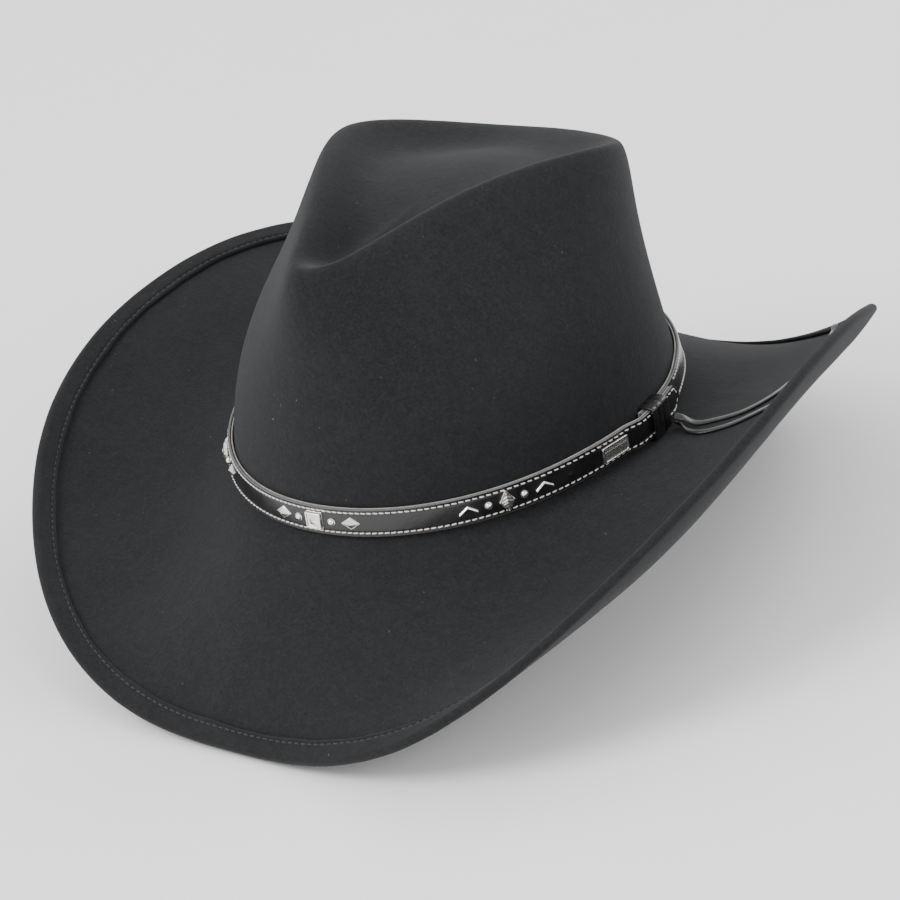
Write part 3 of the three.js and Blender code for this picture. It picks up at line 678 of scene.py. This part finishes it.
# The outline of a flat thong: wide across, thin through, with round edges.
def flat_outline(width, thickness, steps=16, power=3.2):
    turn = np.arange(steps) * 2 * np.pi / steps
    cos, sin = np.cos(turn), np.sin(turn)
    return np.stack(
        [
            width / 2 * np.sign(cos) * np.abs(cos) ** (2 / power),
            thickness / 2 * np.sign(sin) * np.abs(sin) ** (2 / power),
        ],
        -1,
    )


def make_lace(name, route):
    stops = through(route, 6)
    # it comes down onto the felt, then climbs the hem's raw edge if it gets that far
    landed = smooth_step(13, 21, stops[:, 1])
    to_hem = brim_width(stops[:, 0] * DEG) - HEM_WIDTH - stops[:, 1]
    lying = LACE_LYING + HEM_CLIMB * (1 - smooth_step(-1, 4, to_hem))
    height = stops[:, 2] * (1 - landed) + lying * landed
    centre = brim_point(stops[:, 0] * DEG, stops[:, 1], height)
    centre[:, 2] += hat_wave(centre) * landed
    normal = brim_frame(stops[:, 0] * DEG, stops[:, 1])[2]
    outward = head_oval(stops[:, 0] * DEG)[1]
    # the thong leaves the binding on its edge and turns over to lie flat on the brim
    turned = smooth_step(9, 24, stops[:, 1])[:, None]
    normal = unit(normal * turned + outward * (1 - turned))
    ahead = unit(np.gradient(centre, axis=0))
    side = unit(np.cross(normal, ahead))
    normal = np.cross(ahead, side)
    outline = flat_outline(LACE_WIDTH, LACE_THICKNESS)
    sections = centre[:, None] + side[:, None] * outline[:, 0, None] + normal[:, None] * outline[:, 1, None]
    lace = piece(name + "_thong", *bar(sections), WRAP_LOOK, "hatband", "strap_leather", [name])


for lace_name, lace_route in LACE_ROUTES.items():
    make_lace(lace_name, lace_route)

# ------------------------------------------------------------------ felt body
ROUND = 432
ANGLES = np.arange(ROUND) * 2 * np.pi / ROUND
FILLET = 5.0
CROWN_ROWS = 96
BRIM_ROWS = 44


def make_felt_body():
    rows = []
    flat = np.ones(ROUND)
    fillet_share = share_at_height(ANGLES, FILLET)
    wall_top = np.linspace(1, 0, CROWN_ROWS + 1)[1:-1]
    crown_rows = [crown_point(ANGLES, fillet_share + (1 - fillet_share) * s**0.95) for s in wall_top]
    rows += crown_rows
    foot = head_oval(ANGLES)[0]
    wall_end = crown_point(ANGLES, fillet_share)
    brim_begin = brim_point(ANGLES, FILLET * flat, 0 * flat)
    for u in np.linspace(0, 1, 7):
        rows.append((1 - u) ** 2 * wall_end + 2 * u * (1 - u) * foot + u * u * brim_begin)
    width = brim_width(ANGLES)
    for s in np.linspace(0, 1, BRIM_ROWS)[1:]:
        rows.append(brim_point(ANGLES, FILLET + (width - HEM_WIDTH - FILLET) * s, 0 * flat))
    # the folded hem, as distance in from the edge and height above the brim's upper face
    channel = np.linspace(-0.95, 0.95, 9) * np.pi
    hem = [(8.5, 0), (5.5, 0)]
    hem += [
        (FOLD_RADIUS - WIRE_CHANNEL_RADIUS * math.cos(a), HEM_SLIT / 2 + WIRE_CHANNEL_RADIUS * math.sin(a))
        for a in channel
    ]
    hem += [(5.5, 0.3), (8.5, 0.3), (10.25, 0.32)]
    raw_edge_start = len(hem)
    hem += [(10.5, 0.55), (10.58, 1.0), (10.5, 1.45), (10.25, 1.85), (9.85, 2.08), (9.45, 2.12)]
    hem += [(9.15, 2.0), (8.9, 1.75), (8.7, 1.66), (8.5, 1.75), (8.25, 2.02), (7.9, 2.22), (7.3, 2.34)]
    hem += [(6.4, 2.4), (5.4, 2.42), (4.4, 2.42), (3.4, 2.4)]
    fold = np.linspace(90, -90, 13) * DEG
    hem += [(FOLD_RADIUS - FOLD_RADIUS * math.cos(a), FOLD_RADIUS * math.sin(a)) for a in fold]
    ragged = 0.22 * np.sin(9 * ANGLES + 1) + 0.16 * np.sin(23 * ANGLES) + 0.12 * np.sin(51 * ANGLES + 2)
    for i, (inset, height) in enumerate(hem):
        shift = ragged if inset > 9.3 and i >= raw_edge_start - 1 else 0
        rows.append(brim_point(ANGLES, width - inset + shift, height * flat))
    for s in np.linspace(1, 0, BRIM_ROWS)[1:]:
        rows.append(brim_point(ANGLES, FILLET + (width - FOLD_RADIUS - FILLET) * s, -FELT * flat))
    low = np.maximum(fillet_share, 1e-4)
    wall_inner = inside_crown(ANGLES, low, FELT)
    brim_inner = brim_point(ANGLES, FILLET * flat, -FELT * flat)
    both = crown_normal(ANGLES, low) + brim_frame(ANGLES, 0 * flat)[2]
    facing = (crown_normal(ANGLES, low) * brim_frame(ANGLES, 0 * flat)[2]).sum(-1)
    corner = foot - both * FELT / (1 + facing)[:, None]
    for u in np.linspace(0, 1, 7)[1:]:
        rows.append((1 - u) ** 2 * brim_inner + 2 * u * (1 - u) * corner + u * u * wall_inner)
    inner = np.linspace(0, 1, 50)[1:-1]
    rows += [inside_crown(ANGLES, low + (1 - low) * s, FELT) for s in inner]
    grid = np.array(rows)
    top = crown_point(0.0, 1.0)
    count = len(rows)
    points = np.concatenate([grid.reshape(-1, 3), [top], [top - UP * FELT]])
    faces = grid_faces(count, ROUND)
    last = (count - 1) * ROUND
    for c in range(ROUND):
        n = (c + 1) % ROUND
        faces.append([count * ROUND, c, n])
        faces.append([count * ROUND + 1, last + n, last + c])
    # unevenness, kept the same on both faces of the felt so that its thickness stays true
    wave = hat_wave(points[:-2])
    quiet = np.ones((count, ROUND))
    near_band = slice(len(crown_rows) - 16, len(crown_rows) + 12)
    quiet[near_band] = 0.25
    points[:-2, 2] += (wave.reshape(count, ROUND) * quiet).ravel()
    return piece("felt_hat", points, faces, FELT_LOOK, "hat", "felt", ["felt_body"])


make_felt_body()


# ------------------------------------------------------------------ stitches
def stitch_shape(length, radius, dip):
    """One stitch along x, lying on z = 0, its ends sunk by `dip`."""
    stations = np.array([-1, -0.93, -0.75, -0.4, 0, 0.4, 0.75, 0.93, 1])
    turn = np.arange(8) * 2 * np.pi / 8
    rows = []
    for s in stations:
        r = radius * math.sqrt(max(1 - s**6, 0.03))
        centre = np.array([s * length / 2, 0, radius * 0.6 - dip * s**4])
        rows.append([centre + np.array([0, r * math.cos(a), 0.85 * r * math.sin(a)]) for a in turn])
    return bar(np.array(rows))


def place_many(shape, centres, ahead, normal):
    points, faces = shape
    side = unit(np.cross(normal, ahead))
    normal = unit(np.cross(ahead, side))
    parts = [(c + points @ np.array([a, s, n]), faces) for c, a, s, n in zip(centres, ahead, side, normal)]
    return join(parts)


HEM_STITCH_INSET = HEM_WIDTH - 1.8
HEM_STITCH_PITCH = 3.4


def make_hem_stitches():
    fine = np.linspace(0, 2 * np.pi, 4001)
    line = brim_point(fine, brim_width(fine) - HEM_STITCH_INSET, 0 * fine + 1.7)
    run = np.concatenate([[0], np.cumsum(np.linalg.norm(np.diff(line, axis=0), axis=1))])
    count = int(run[-1] / HEM_STITCH_PITCH)
    at = np.interp((np.arange(count) + 0.5) * run[-1] / count, run, fine)
    centre = brim_point(at, brim_width(at) - HEM_STITCH_INSET, 0 * at + 1.72)
    centre[:, 2] += hat_wave(centre)
    step = 0.002
    ahead = unit(
        brim_point(at + step, brim_width(at + step) - HEM_STITCH_INSET, 0 * at)
        - brim_point(at - step, brim_width(at - step) - HEM_STITCH_INSET, 0 * at)
    )
    normal = brim_frame(at, brim_width(at) - HEM_STITCH_INSET)[2]
    shape = stitch_shape(2.5, 0.26, 0.3)
    stitches = place_many(shape, centre, ahead, normal)
    piece("hem_stitches", *stitches, DARK_THREAD, "hat", "dark_thread", ["hem_stitching"])


make_hem_stitches()

# ------------------------------------------------------------------ strap
STRAP_STEP = 0.5
PUCKER_ANGLE = 69.5


def point_half_width(path, end):
    tip = np.maximum((path - end + STRAP_POINT_ANGLE) / STRAP_POINT_ANGLE, 0)
    return STRAP_WIDTH / 2 * (1 - POINT_SHARE * np.minimum(tip, 1) ** 1.15)


# The section of one ply, as (share across the width from -1 to 1, share through the thickness 0 to 1).
def ply_outline():
    across = np.linspace(-1, 1, 31)[1:-1]
    outer = [(v, 1.0) for v in across]
    top = [(0.985, 0.93), (1.0, 0.75), (1.0, 0.5), (1.0, 0.25), (0.985, 0.07)]
    inner = [(v, 0.0) for v in np.linspace(0.94, -0.94, 9)]
    bottom = [(-v, 1 - t) for v, t in top]
    return np.array(outer + top + inner + bottom)


def make_ply(name, inside, thickness, trim, look, slot, node, detail):
    end = PATH_END - trim
    path = np.append(np.arange(PATH_START, end, STRAP_STEP), end)
    outline = ply_outline()
    half = point_half_width(path, end)
    across = outline[:, 0][None] * half[:, None]
    height = STRAP_WIDTH / 2 + across
    proud = np.broadcast_to(inside + thickness * outline[:, 1][None], height.shape).copy()
    if detail:
        outer = (outline[:, 1] == 1)[None]
        seam = STRAP_WIDTH / 2 - STITCH_INSET
        groove = np.exp(-(((np.abs(across) - seam) / 0.5) ** 2))
        pillow = np.clip(1 - (across / (seam - 0.4)) ** 2, 0, 1)
        angle = path[:, None] - 360 * (path[:, None] > 360)
        from_pucker = (angle - PUCKER_ANGLE) * MILLIMETRES_PER_DEGREE
        pucker = np.exp(-((from_pucker / 1.5) ** 2) - ((across + 0.6) / 1.1) ** 2)
        proud += outer * (-0.2 * groove + 0.14 * pillow + 0.55 * pucker)
    points = band_point(path[:, None], proud, height)
    edge = np.broadcast_to((np.abs(outline[:, 0]) > 0.975)[None].astype(float), height.shape)
    edge = np.concatenate([edge.ravel(), [1, 1]])
    piece(name, *bar(points), look, "hatband", slot, [node], sharp=50, attributes={"cut_edge": edge})


FACE_INSIDE = BACKING_THICKNESS + TOUCHING_GAP
make_ply("strap_front", FACE_INSIDE, FACE_THICKNESS, 0, STRAP_LOOK, "strap_leather", "strap_face", True)
make_ply("strap_back", 0, BACKING_THICKNESS, 0.4, BACKING_LOOK, "backing_leather", "strap_backing", False)

STRAP_STITCH_PITCH = 3.0


def make_strap_stitches():
    pitch = STRAP_STITCH_PITCH / MILLIMETRES_PER_DEGREE
    row = np.arange(PATH_END - 360 + 2, PATH_END - STRAP_POINT_ANGLE - 0.6, pitch)
    stops = []
    for height in (STITCH_INSET, STRAP_WIDTH - STITCH_INSET):
        stops += [(path, height, 0.0, height) for path in row]
    # round the strap's point, one slanting stitch on each side and one across the tip
    tip = PATH_END - STRAP_POINT_ANGLE
    for sign in (-1, 1):
        low = STRAP_WIDTH / 2 + sign * (STRAP_WIDTH / 2 - STITCH_INSET)
        high = STRAP_WIDTH / 2 + sign * 1.2
        for share in (0.22, 0.78):
            stops.append((tip + 0.1 + share * 1.6, low + (high - low) * share, sign * (high - low), low))
    path = np.array([s[0] for s in stops])
    height = np.array([s[1] for s in stops])
    slant = np.array([s[2] for s in stops])
    centre = band_point(path, 0 * path + PLY - 0.22, height)
    proud = 0 * path + PLY
    ahead = unit(band_point(path + 0.3, proud, height) - band_point(path - 0.3, proud, height))
    _, up, outward, _ = band_frame(path * DEG)
    side = np.where(height > STRAP_WIDTH / 2, -1.0, 1.0)
    lean = np.where(np.abs(slant) > 0, 1.3, 0.09)
    ahead = unit(ahead + up * (lean * side)[:, None])
    shape = stitch_shape(2.25, 0.34, 0.28)
    piece(
        "strap_stitches",
        *place_many(shape, centre, ahead, outward),
        WHITE_THREAD,
        "hatband",
        "white_thread",
        ["strap_stitching"],
    )


make_strap_stitches()


# ------------------------------------------------------------------ binding of thong round the strap's ends
def make_wraps():
    inner_depth = 2 * PLY + OVERLAP_GAP + TOUCHING_GAP + 0.4 + TOUCHING_GAP
    start = -(sum(WRAP_WIDTHS) + WRAP_SPACING * (len(WRAP_WIDTHS) - 1)) / 2
    for i, width in enumerate(WRAP_WIDTHS):
        place = on_strap(KEEPER_ANGLE + (start + width / 2) / MILLIMETRES_PER_DEGREE, 0, 0)
        low = np.array([-0.3 - LEATHER_WRAP / 2, -0.3 - LEATHER_WRAP / 2])
        high = np.array([inner_depth + LEATHER_WRAP / 2, STRAP_WIDTH + 0.3 + LEATHER_WRAP / 2])
        corner = 1.0
        loop, facing = [], []
        corners = [
            ((high[0], high[1]), 0),
            ((low[0], high[1]), 90),
            ((low[0], low[1]), 180),
            ((high[0], low[1]), 270),
        ]
        for (x, y), turn in corners:
            cx = x - corner if x > 0 else x + corner
            cy = y - corner if y > 0 else y + corner
            for a in np.linspace(turn, turn + 90, 7) * DEG:
                loop.append((cx + corner * math.cos(a), cy + corner * math.sin(a)))
                facing.append((math.cos(a), math.sin(a)))
        loop, facing = np.array(loop), np.array(facing)
        # more sections along the straight sides, which swell a little
        fine_loop, fine_facing = [], []
        for j in range(len(loop)):
            a, b = loop[j], loop[(j + 1) % len(loop)]
            fa, fb = facing[j], facing[(j + 1) % len(loop)]
            cuts = 10 if np.linalg.norm(b - a) > 2 else 1
            for u in np.arange(cuts) / cuts:
                fine_loop.append(a + (b - a) * u + fa * 0.18 * math.sin(math.pi * u))
                fine_facing.append(unit(fa + (fb - fa) * u))
        loop, facing = np.array(fine_loop), np.array(fine_facing)
        outline = flat_outline(width + 0.3, LEATHER_WRAP, 24, 3.0)
        lean = 0.05 * (1 if i < 2 else -0.5)
        sections = np.empty((len(loop), len(outline), 3))
        for j, ((out, up), (fo, fu)) in enumerate(zip(loop, facing)):
            thick = outline[:, 1] + 0.12 * (1 - (2 * outline[:, 0] / width) ** 2) * (outline[:, 1] > 0)
            sections[j, :, 0] = outline[:, 0] + lean * (up - STRAP_WIDTH / 2)
            sections[j, :, 1] = up + fu * thick
            sections[j, :, 2] = out + fo * thick
        points, faces = bar(sections, joined=True)
        points = points @ place[:3, :3].T + place[:3, 3]
        node = f"keeper_wrap_{i + 1}"
        piece(f"thong_wrap_{i + 1}", points, faces, WRAP_LOOK, "hatband", "strap_leather", [node])
        start += width + WRAP_SPACING


make_wraps()


# ------------------------------------------------------------------ studs, each made flat on its back
def lofted(loops, apex=None):
    """Loops of equal length, the first closed flat underneath and the last closed to an apex or flat."""
    loops = np.array(loops, float)
    rows, columns = loops.shape[:2]
    faces = grid_faces(rows, columns)
    points = loops.reshape(-1, 3)
    faces.append(list(range(columns))[::-1])
    last = (rows - 1) * columns
    if apex is None:
        faces.append([last + c for c in range(columns)])
    else:
        points = np.concatenate([points, [apex]])
        faces += [[last + c, last + (c + 1) % columns, rows * columns] for c in range(columns)]
    return points, faces


def ring(radius_x, radius_y, z, sides, wave=0.0, petals=0, phase=0.0):
    turn = np.arange(sides) * 2 * np.pi / sides + phase
    swell = 1 + wave * np.cos(petals * turn)
    return np.stack([radius_x * swell * np.cos(turn), radius_y * swell * np.sin(turn), 0 * turn + z], -1)


def corner_loop(half_x, half_y, z, square):
    if square:
        return [(half_x, half_y, z), (-half_x, half_y, z), (-half_x, -half_y, z), (half_x, -half_y, z)]
    return [(half_x, 0, z), (0, half_y, z), (-half_x, 0, z), (0, -half_y, z)]


def ball_stud():
    rows = [(1.72, 0), (1.78, 0.18), (1.74, 0.36), (1.52, 0.42)]
    rows += [(1.5 * math.cos(a), 0.42 + 1.25 * math.sin(a)) for a in np.linspace(0.06, 1.42, 9)]
    return lofted([ring(r, r, z, 28) for r, z in rows], (0, 0, 1.67)), 0, 40


def diamond_stud():
    rows = [(1.0, 0), (1.0, 0.32), (0.93, 0.45), (0.86, 0.45)]
    return lofted([corner_loop(4.1 * s, 2.8 * s, z, False) for s, z in rows], (0, 0, 1.75)), 0.09, 20


def square_stud():
    rows = [(3.72, 0), (3.72, 1.3), (3.55, 1.55), (3.0, 1.6), (2.78, 1.05), (2.6, 1.0)]
    return lofted([corner_loop(h, h, z, True) for h, z in rows], (0, 0, 2.3)), 0.09, 20


def concho_stud():
    rows = [(5.0, 0, 0), (5.1, 0.5, 0), (5.0, 0.85, 0), (4.7, 1.0, 0), (4.4, 0.95, 0.01), (4.15, 0.8, 0.02)]
    rows += [(4.0, 1.05, 0.03), (3.6, 1.42, 0.045), (3.0, 1.75, 0.05), (2.3, 1.98, 0.04), (1.75, 2.02, 0.02)]
    rows += [(1.55, 1.9, 0), (1.4, 2.0, 0), (1.1, 2.28, 0), (0.6, 2.46, 0), (0.2, 2.5, 0)]
    loops = [ring(0.82 * r, 1.06 * r, z, 64, wave, 16) for r, z, wave in rows]
    return lofted(loops, (0, 0, 2.51)), 0, 35


def rhombus_stud():
    """A long rhombus with a raised frame and slanting ribs that meet on its middle line."""
    steps = 24
    loops = []
    for share, z in ((1.0, 0), (1.0, 0.75), (0.95, 0.95), (0.86, 1.0), (0.8, 0.8)):
        loop = []
        for side in range(4):
            a = np.array(corner_loop(3.4 * share, 5.2 * share, z, False)[side])
            b = np.array(corner_loop(3.4 * share, 5.2 * share, z, False)[(side + 1) % 4])
            loop += [a + (b - a) * u for u in np.arange(steps) / steps]
        loops.append(loop)
    for share in np.linspace(0.76, 0.08, 10):
        loop = []
        for side in range(4):
            a = np.array(corner_loop(3.4 * share, 5.2 * share, 0, False)[side])
            b = np.array(corner_loop(3.4 * share, 5.2 * share, 0, False)[(side + 1) % 4])
            for u in np.arange(steps) / steps:
                p = a + (b - a) * u
                rib = 0.16 * abs(math.sin(2.3 * (p[1] + 0.5 * abs(p[0]))))
                loop.append((p[0], p[1], 0.85 + 1.0 * (1 - share) ** 0.8 + rib))
        loops.append(loop)
    return lofted(loops, (0, 0, 1.9)), 0, 30


def chevron_stud():
    """Two limbs that meet at an angle, each a low roof in section."""
    spine = [(-4.0, -1.0), (-2, 0.35), (0, 1.7), (2, 0.35), (4.0, -1.0)]
    section = [(-0.62, 0), (-0.62, 0.5), (-0.42, 0.75), (0, 1.1), (0.42, 0.75), (0.62, 0.5), (0.62, 0)]
    rows = [[(x, y + dy, z) for dy, z in section] for x, y in spine]
    points, faces = bar(np.array(rows, float))
    return (points, faces), 0.05, 20


# cross-sections of the plate's ribs and of the bar above them: across, then rise
PLATE_RIB = ((-0.32, 0.6), (-0.24, 0.9), (0, 1.02), (0.24, 0.9), (0.32, 0.6))
PLATE_BAND = ((1.75, 0.6), (1.85, 0.95), (2.2, 1.08), (2.55, 0.95), (2.65, 0.6))


def plate_shape():
    """A small tag with a plain bright border and upright ribs."""
    loops = []
    for inset, z in ((0.0, 0), (0.0, 0.75), (0.12, 0.93), (0.3, 1.0), (0.75, 1.0), (0.9, 0.72)):
        loops.append(plate_loop(7.3 - inset, 3.7 - inset, z))
    outer = lofted(loops)
    ribs = []
    for x in np.linspace(-5.6, 5.6, 11):
        rows = [[(x + dx, y, z) for dx, z in PLATE_RIB] for y in (-2.4, -2.2, 1.1, 1.3)]
        ribs.append(bar(np.array(rows, float)))
    band = [[(x, y, z) for y, z in PLATE_BAND] for x in (-6.1, -5.9, 5.9, 6.1)]
    return join([outer, *ribs, bar(np.array(band, float))]), 0, 30


def plate_loop(half_x, half_y, z):
    radius = 0.9
    points = []
    for sx, sy, turn in ((1, 1, 0), (-1, 1, 90), (-1, -1, 180), (1, -1, 270)):
        for a in np.linspace(turn, turn + 90, 6) * DEG:
            x = sx * (half_x - radius) + radius * math.cos(a)
            y = sy * (half_y - radius) + radius * math.sin(a)
            points.append((x, y, z))
    return points


SQUARE_GROUP = [
    ("diamond_a", diamond_stud, -10.7),
    ("ball_a", ball_stud, -5.2),
    ("square", square_stud, 0),
    ("ball_b", ball_stud, 5.2),
    ("diamond_b", diamond_stud, 10.7),
]
RHOMBUS_GROUP = [
    ("chevron_a", chevron_stud, -9.2),
    ("ball_a", ball_stud, -4.3),
    ("rhombus", rhombus_stud, 0),
    ("ball_b", ball_stud, 4.3),
    ("chevron_b", chevron_stud, 9.2),
]
CONCHO_GROUP = [
    ("diamond_a", diamond_stud, -10.2),
    ("ball_a", ball_stud, -5),
    ("concho", concho_stud, 0),
    ("ball_b", ball_stud, 5),
    ("diamond_b", diamond_stud, 10.2),
]
STUD_GROUPS = [
    ("front", 4, SQUARE_GROUP),
    ("left", 53.5, RHOMBUS_GROUP),
    ("rear", 160, CONCHO_GROUP),
    ("rear_right", 211, RHOMBUS_GROUP),
    ("right", 262, SQUARE_GROUP),
    ("front_right", 312, CONCHO_GROUP),
]
STUD_SEAT = PLY + 0.05
COVERS_THREAD = (rhombus_stud, concho_stud)
OVER_THREAD_LIFT = 0.3
PLATE_ANGLE = 82


def path_angle(angle):
    return angle + 360 if angle < PATH_START else angle


def set_on_strap(name, shape, angle, lift, node):
    (points, faces), bevel, sharp = shape()
    place = on_strap(path_angle(angle), STUD_SEAT + lift, STRAP_WIDTH / 2)
    points = np.asarray(points, float) @ place[:3, :3].T + place[:3, 3]
    piece(name, points, faces, SILVER, "hatband", "silver", [node], sharp=sharp, bevel=bevel)


for group, group_angle, studs in STUD_GROUPS:
    for stud, stud_shape, offset in studs:
        stud_lift = OVER_THREAD_LIFT if stud_shape in COVERS_THREAD else 0.1
        path = group_angle + offset
        set_on_strap(f"silver_{group}_{stud}", stud_shape, path, stud_lift, f"stud_{group}_{stud}")
set_on_strap("silver_plate", plate_shape, PLATE_ANGLE, 0.3, "plate")


# ------------------------------------------------------------------ inside: sweatband, reed, lining and bow
INNER_ROUND = 240
INNER_ANGLES = np.arange(INNER_ROUND) * 2 * np.pi / INNER_ROUND
LINING = 0.4
LINING_DEPTH = FELT + 0.8
SWEATBAND_DEPTH = LINING_DEPTH + LINING + 2 * TOUCHING_GAP


def inner_strip(depth, thickness, heights, swell=None):
    shares = [share_at_height(INNER_ANGLES, h * np.ones(INNER_ROUND)) for h in heights]
    swell = swell or (lambda row: 0)
    outer = [inside_crown(INNER_ANGLES, s, depth) for s in shares]
    inner = [
        inside_crown(INNER_ANGLES, s, (depth + thickness + swell(i)) * np.ones(INNER_ROUND)[:, None])
        for i, s in enumerate(shares)
    ]
    return np.stack(outer + inner[::-1], 1)


def make_sweatband():
    heights = np.array([0.5, 1.2, 2.2, 3, 4, 7, 12, 17, 22, 27, 32, 35, 36.5, 37.5, 38])
    profile = [-0.3, 0.1, -0.15, -0.15, 0.1, 0.15, 0.15, 0.1, 0.1, 0.1, 0.1, 0.05, -0.1, -0.15, -0.35]
    sections = inner_strip(SWEATBAND_DEPTH, 1.0, heights, lambda i: profile[i])
    strip = bar(sections, joined=True)
    piece("sweatband_leather", *strip, SWEAT_LOOK, "hat", "sweat_leather", ["sweatband"], sharp=60)


def make_reed():
    centre = inside_crown(INNER_ANGLES, 0 * INNER_ANGLES, SWEATBAND_DEPTH + 0.55)
    centre[:, 2] -= TOUCHING_GAP + 1.1
    outward = head_oval(INNER_ANGLES)[1]
    turn = np.arange(12) * 2 * np.pi / 12
    sections = (
        centre[:, None]
        + 1.1 * np.cos(turn)[None, :, None] * outward[:, None]
        + 1.1 * np.sin(turn)[None, :, None] * UP
    )
    piece("reed", *bar(sections, joined=True), SWEAT_LOOK, "hat", "sweat_leather", ["sweatband_reed"])


def make_lining():
    heights = np.linspace(26, 58, 9)
    pleats = 0.28 * np.abs(np.sin(INNER_ANGLES * 40)) + 0.2 * np.abs(np.sin(INNER_ANGLES * 27 + 1))
    shares = [share_at_height(INNER_ANGLES, h * np.ones(INNER_ROUND)) for h in heights]
    fade = np.linspace(0.3, 1, len(heights))
    depth = [(LINING_DEPTH + 0.1 + pleats * f)[:, None] for f in fade]
    outer = [inside_crown(INNER_ANGLES, s, d) for s, d in zip(shares, depth)]
    inner = [inside_crown(INNER_ANGLES, s, d + LINING - 0.1) for s, d in zip(shares, depth)]
    sections = np.stack(outer + inner[::-1], 1)
    return piece("lining_wall", *bar(sections, joined=True), SATIN, "hat", "satin", ["lining_side"])


def make_tip():
    share = share_at_height(INNER_ANGLES, 62 + 0 * INNER_ANGLES)
    edge = inside_crown(INNER_ANGLES, share, LINING_DEPTH + LINING + TOUCHING_GAP)
    middle = np.array([0, 0, 62.0])
    shares = np.linspace(1, 0.04, 24)
    rows = []
    for s in shares:
        row = middle + (edge - middle) * s
        row[:, 2] += 5 * (1 - s * s)
        rows.append(row)
    upper = np.array(rows)
    lower = upper - UP * LINING
    grid = np.concatenate([upper[::-1], lower])
    points, faces = bar(grid)
    return piece("lining_crown", points, faces, SATIN, "hat", "satin", ["lining_tip"])


def make_bow():
    low, high = (np.array(corner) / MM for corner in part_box("back_bow"))
    centre = (low + high) / 2
    half = (high - low) / 2
    parts = []
    for sign in (-1, 1):
        rows = []
        for u in np.linspace(0, 1, 14):
            x = sign * half[0] * (0.12 + 0.88 * u)
            spread = half[2] * (0.3 + 0.7 * u**0.8)
            puff = 0.45 * math.sin(math.pi * min(u * 1.05, 1))
            row = []
            for v in np.linspace(-1, 1, 9):
                fold = 0.12 * math.cos(3 * v * math.pi) * (1 - u)
                row.append((x, -half[1] * 0.3 - puff * (1 - v * v) + fold, spread * v))
            for v in np.linspace(1, -1, 9):
                row.append((x, half[1] * 0.5 + 0.1 * (1 - v * v), spread * v))
            rows.append(row)
        parts.append(bar(np.array(rows)))
    knot = []
    for u in np.linspace(-1, 1, 9):
        r = math.sqrt(max(1 - 0.75 * u * u, 0.1))
        knot.append(
            [
                (1.9 * u, -half[1] * 0.1 + half[1] * 0.85 * r * math.cos(a), 2.0 * r * math.sin(a))
                for a in np.linspace(0, 2 * np.pi, 16, endpoint=False)
            ]
        )
    parts.append(bar(np.array(knot)))
    points, faces = join(parts)
    piece("ribbon_bow", points + centre, faces, SATIN, "hat", "satin", ["back_bow"])


make_sweatband()
make_reed()
lining_wall = make_lining()
lining_crown = make_tip()
make_bow()

wire_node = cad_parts["brim_wire"]
wire_node.data.materials.clear()
wire_node.data.materials.append(WIRE)


# ------------------------------------------------------------------ floor and light
def make_floor():
    look = Look("floor")
    speck = look.noise(40, 4, 0.5)
    color = look.mix(speck, (0.97, 0.97, 0.97, 1), (0.985, 0.985, 0.985, 1))
    floor_look = look.finish(color, look.span(speck, 0, 1, 0.6, 0.75), None)
    mesh = bpy.data.meshes.new("floor")
    size = 6.0
    steps = 40
    z = cad_box[0][2] - 0.0015
    axis = np.linspace(-size, size, steps)
    x, y = np.meshgrid(axis, axis, indexing="ij")
    points = np.stack([x, y, 0 * x + z], -1).reshape(-1, 3)
    mesh.from_pydata(points.tolist(), [], grid_faces(steps, steps, wrap_columns=False))
    mesh.materials.append(floor_look)
    floor = bpy.data.objects.new("floor", mesh)
    bpy.context.scene.collection.objects.link(floor)


def make_light(name, place, target, size, power, color=(1, 1, 1)):
    data = bpy.data.lights.new(name, "AREA")
    data.shape = "DISK"
    data.size = size
    data.energy = power
    data.color = color
    lamp = bpy.data.objects.new(name, data)
    bpy.context.scene.collection.objects.link(lamp)
    lamp.location = place
    lamp.rotation_euler = (Vector(target) - Vector(place)).to_track_quat("-Z", "Y").to_euler()


def make_world():
    world = bpy.data.worlds.new("studio")
    world.use_nodes = True
    sky = world.node_tree.nodes["Background"]
    sky.inputs["Color"].default_value = (1, 1, 1, 1)
    sky.inputs["Strength"].default_value = 1.15
    bpy.context.scene.world = world


make_floor()
make_world()
make_light("key", (-0.9, -1.9, 2.3), (0, 0, 0.05), 1.6, 72)
make_light("fill", (2.4, -0.6, 1.3), (0, 0, 0.05), 1.6, 25)
make_light("rim", (0.6, 2.2, 2.0), (0, 0, 0.05), 1.4, 25)
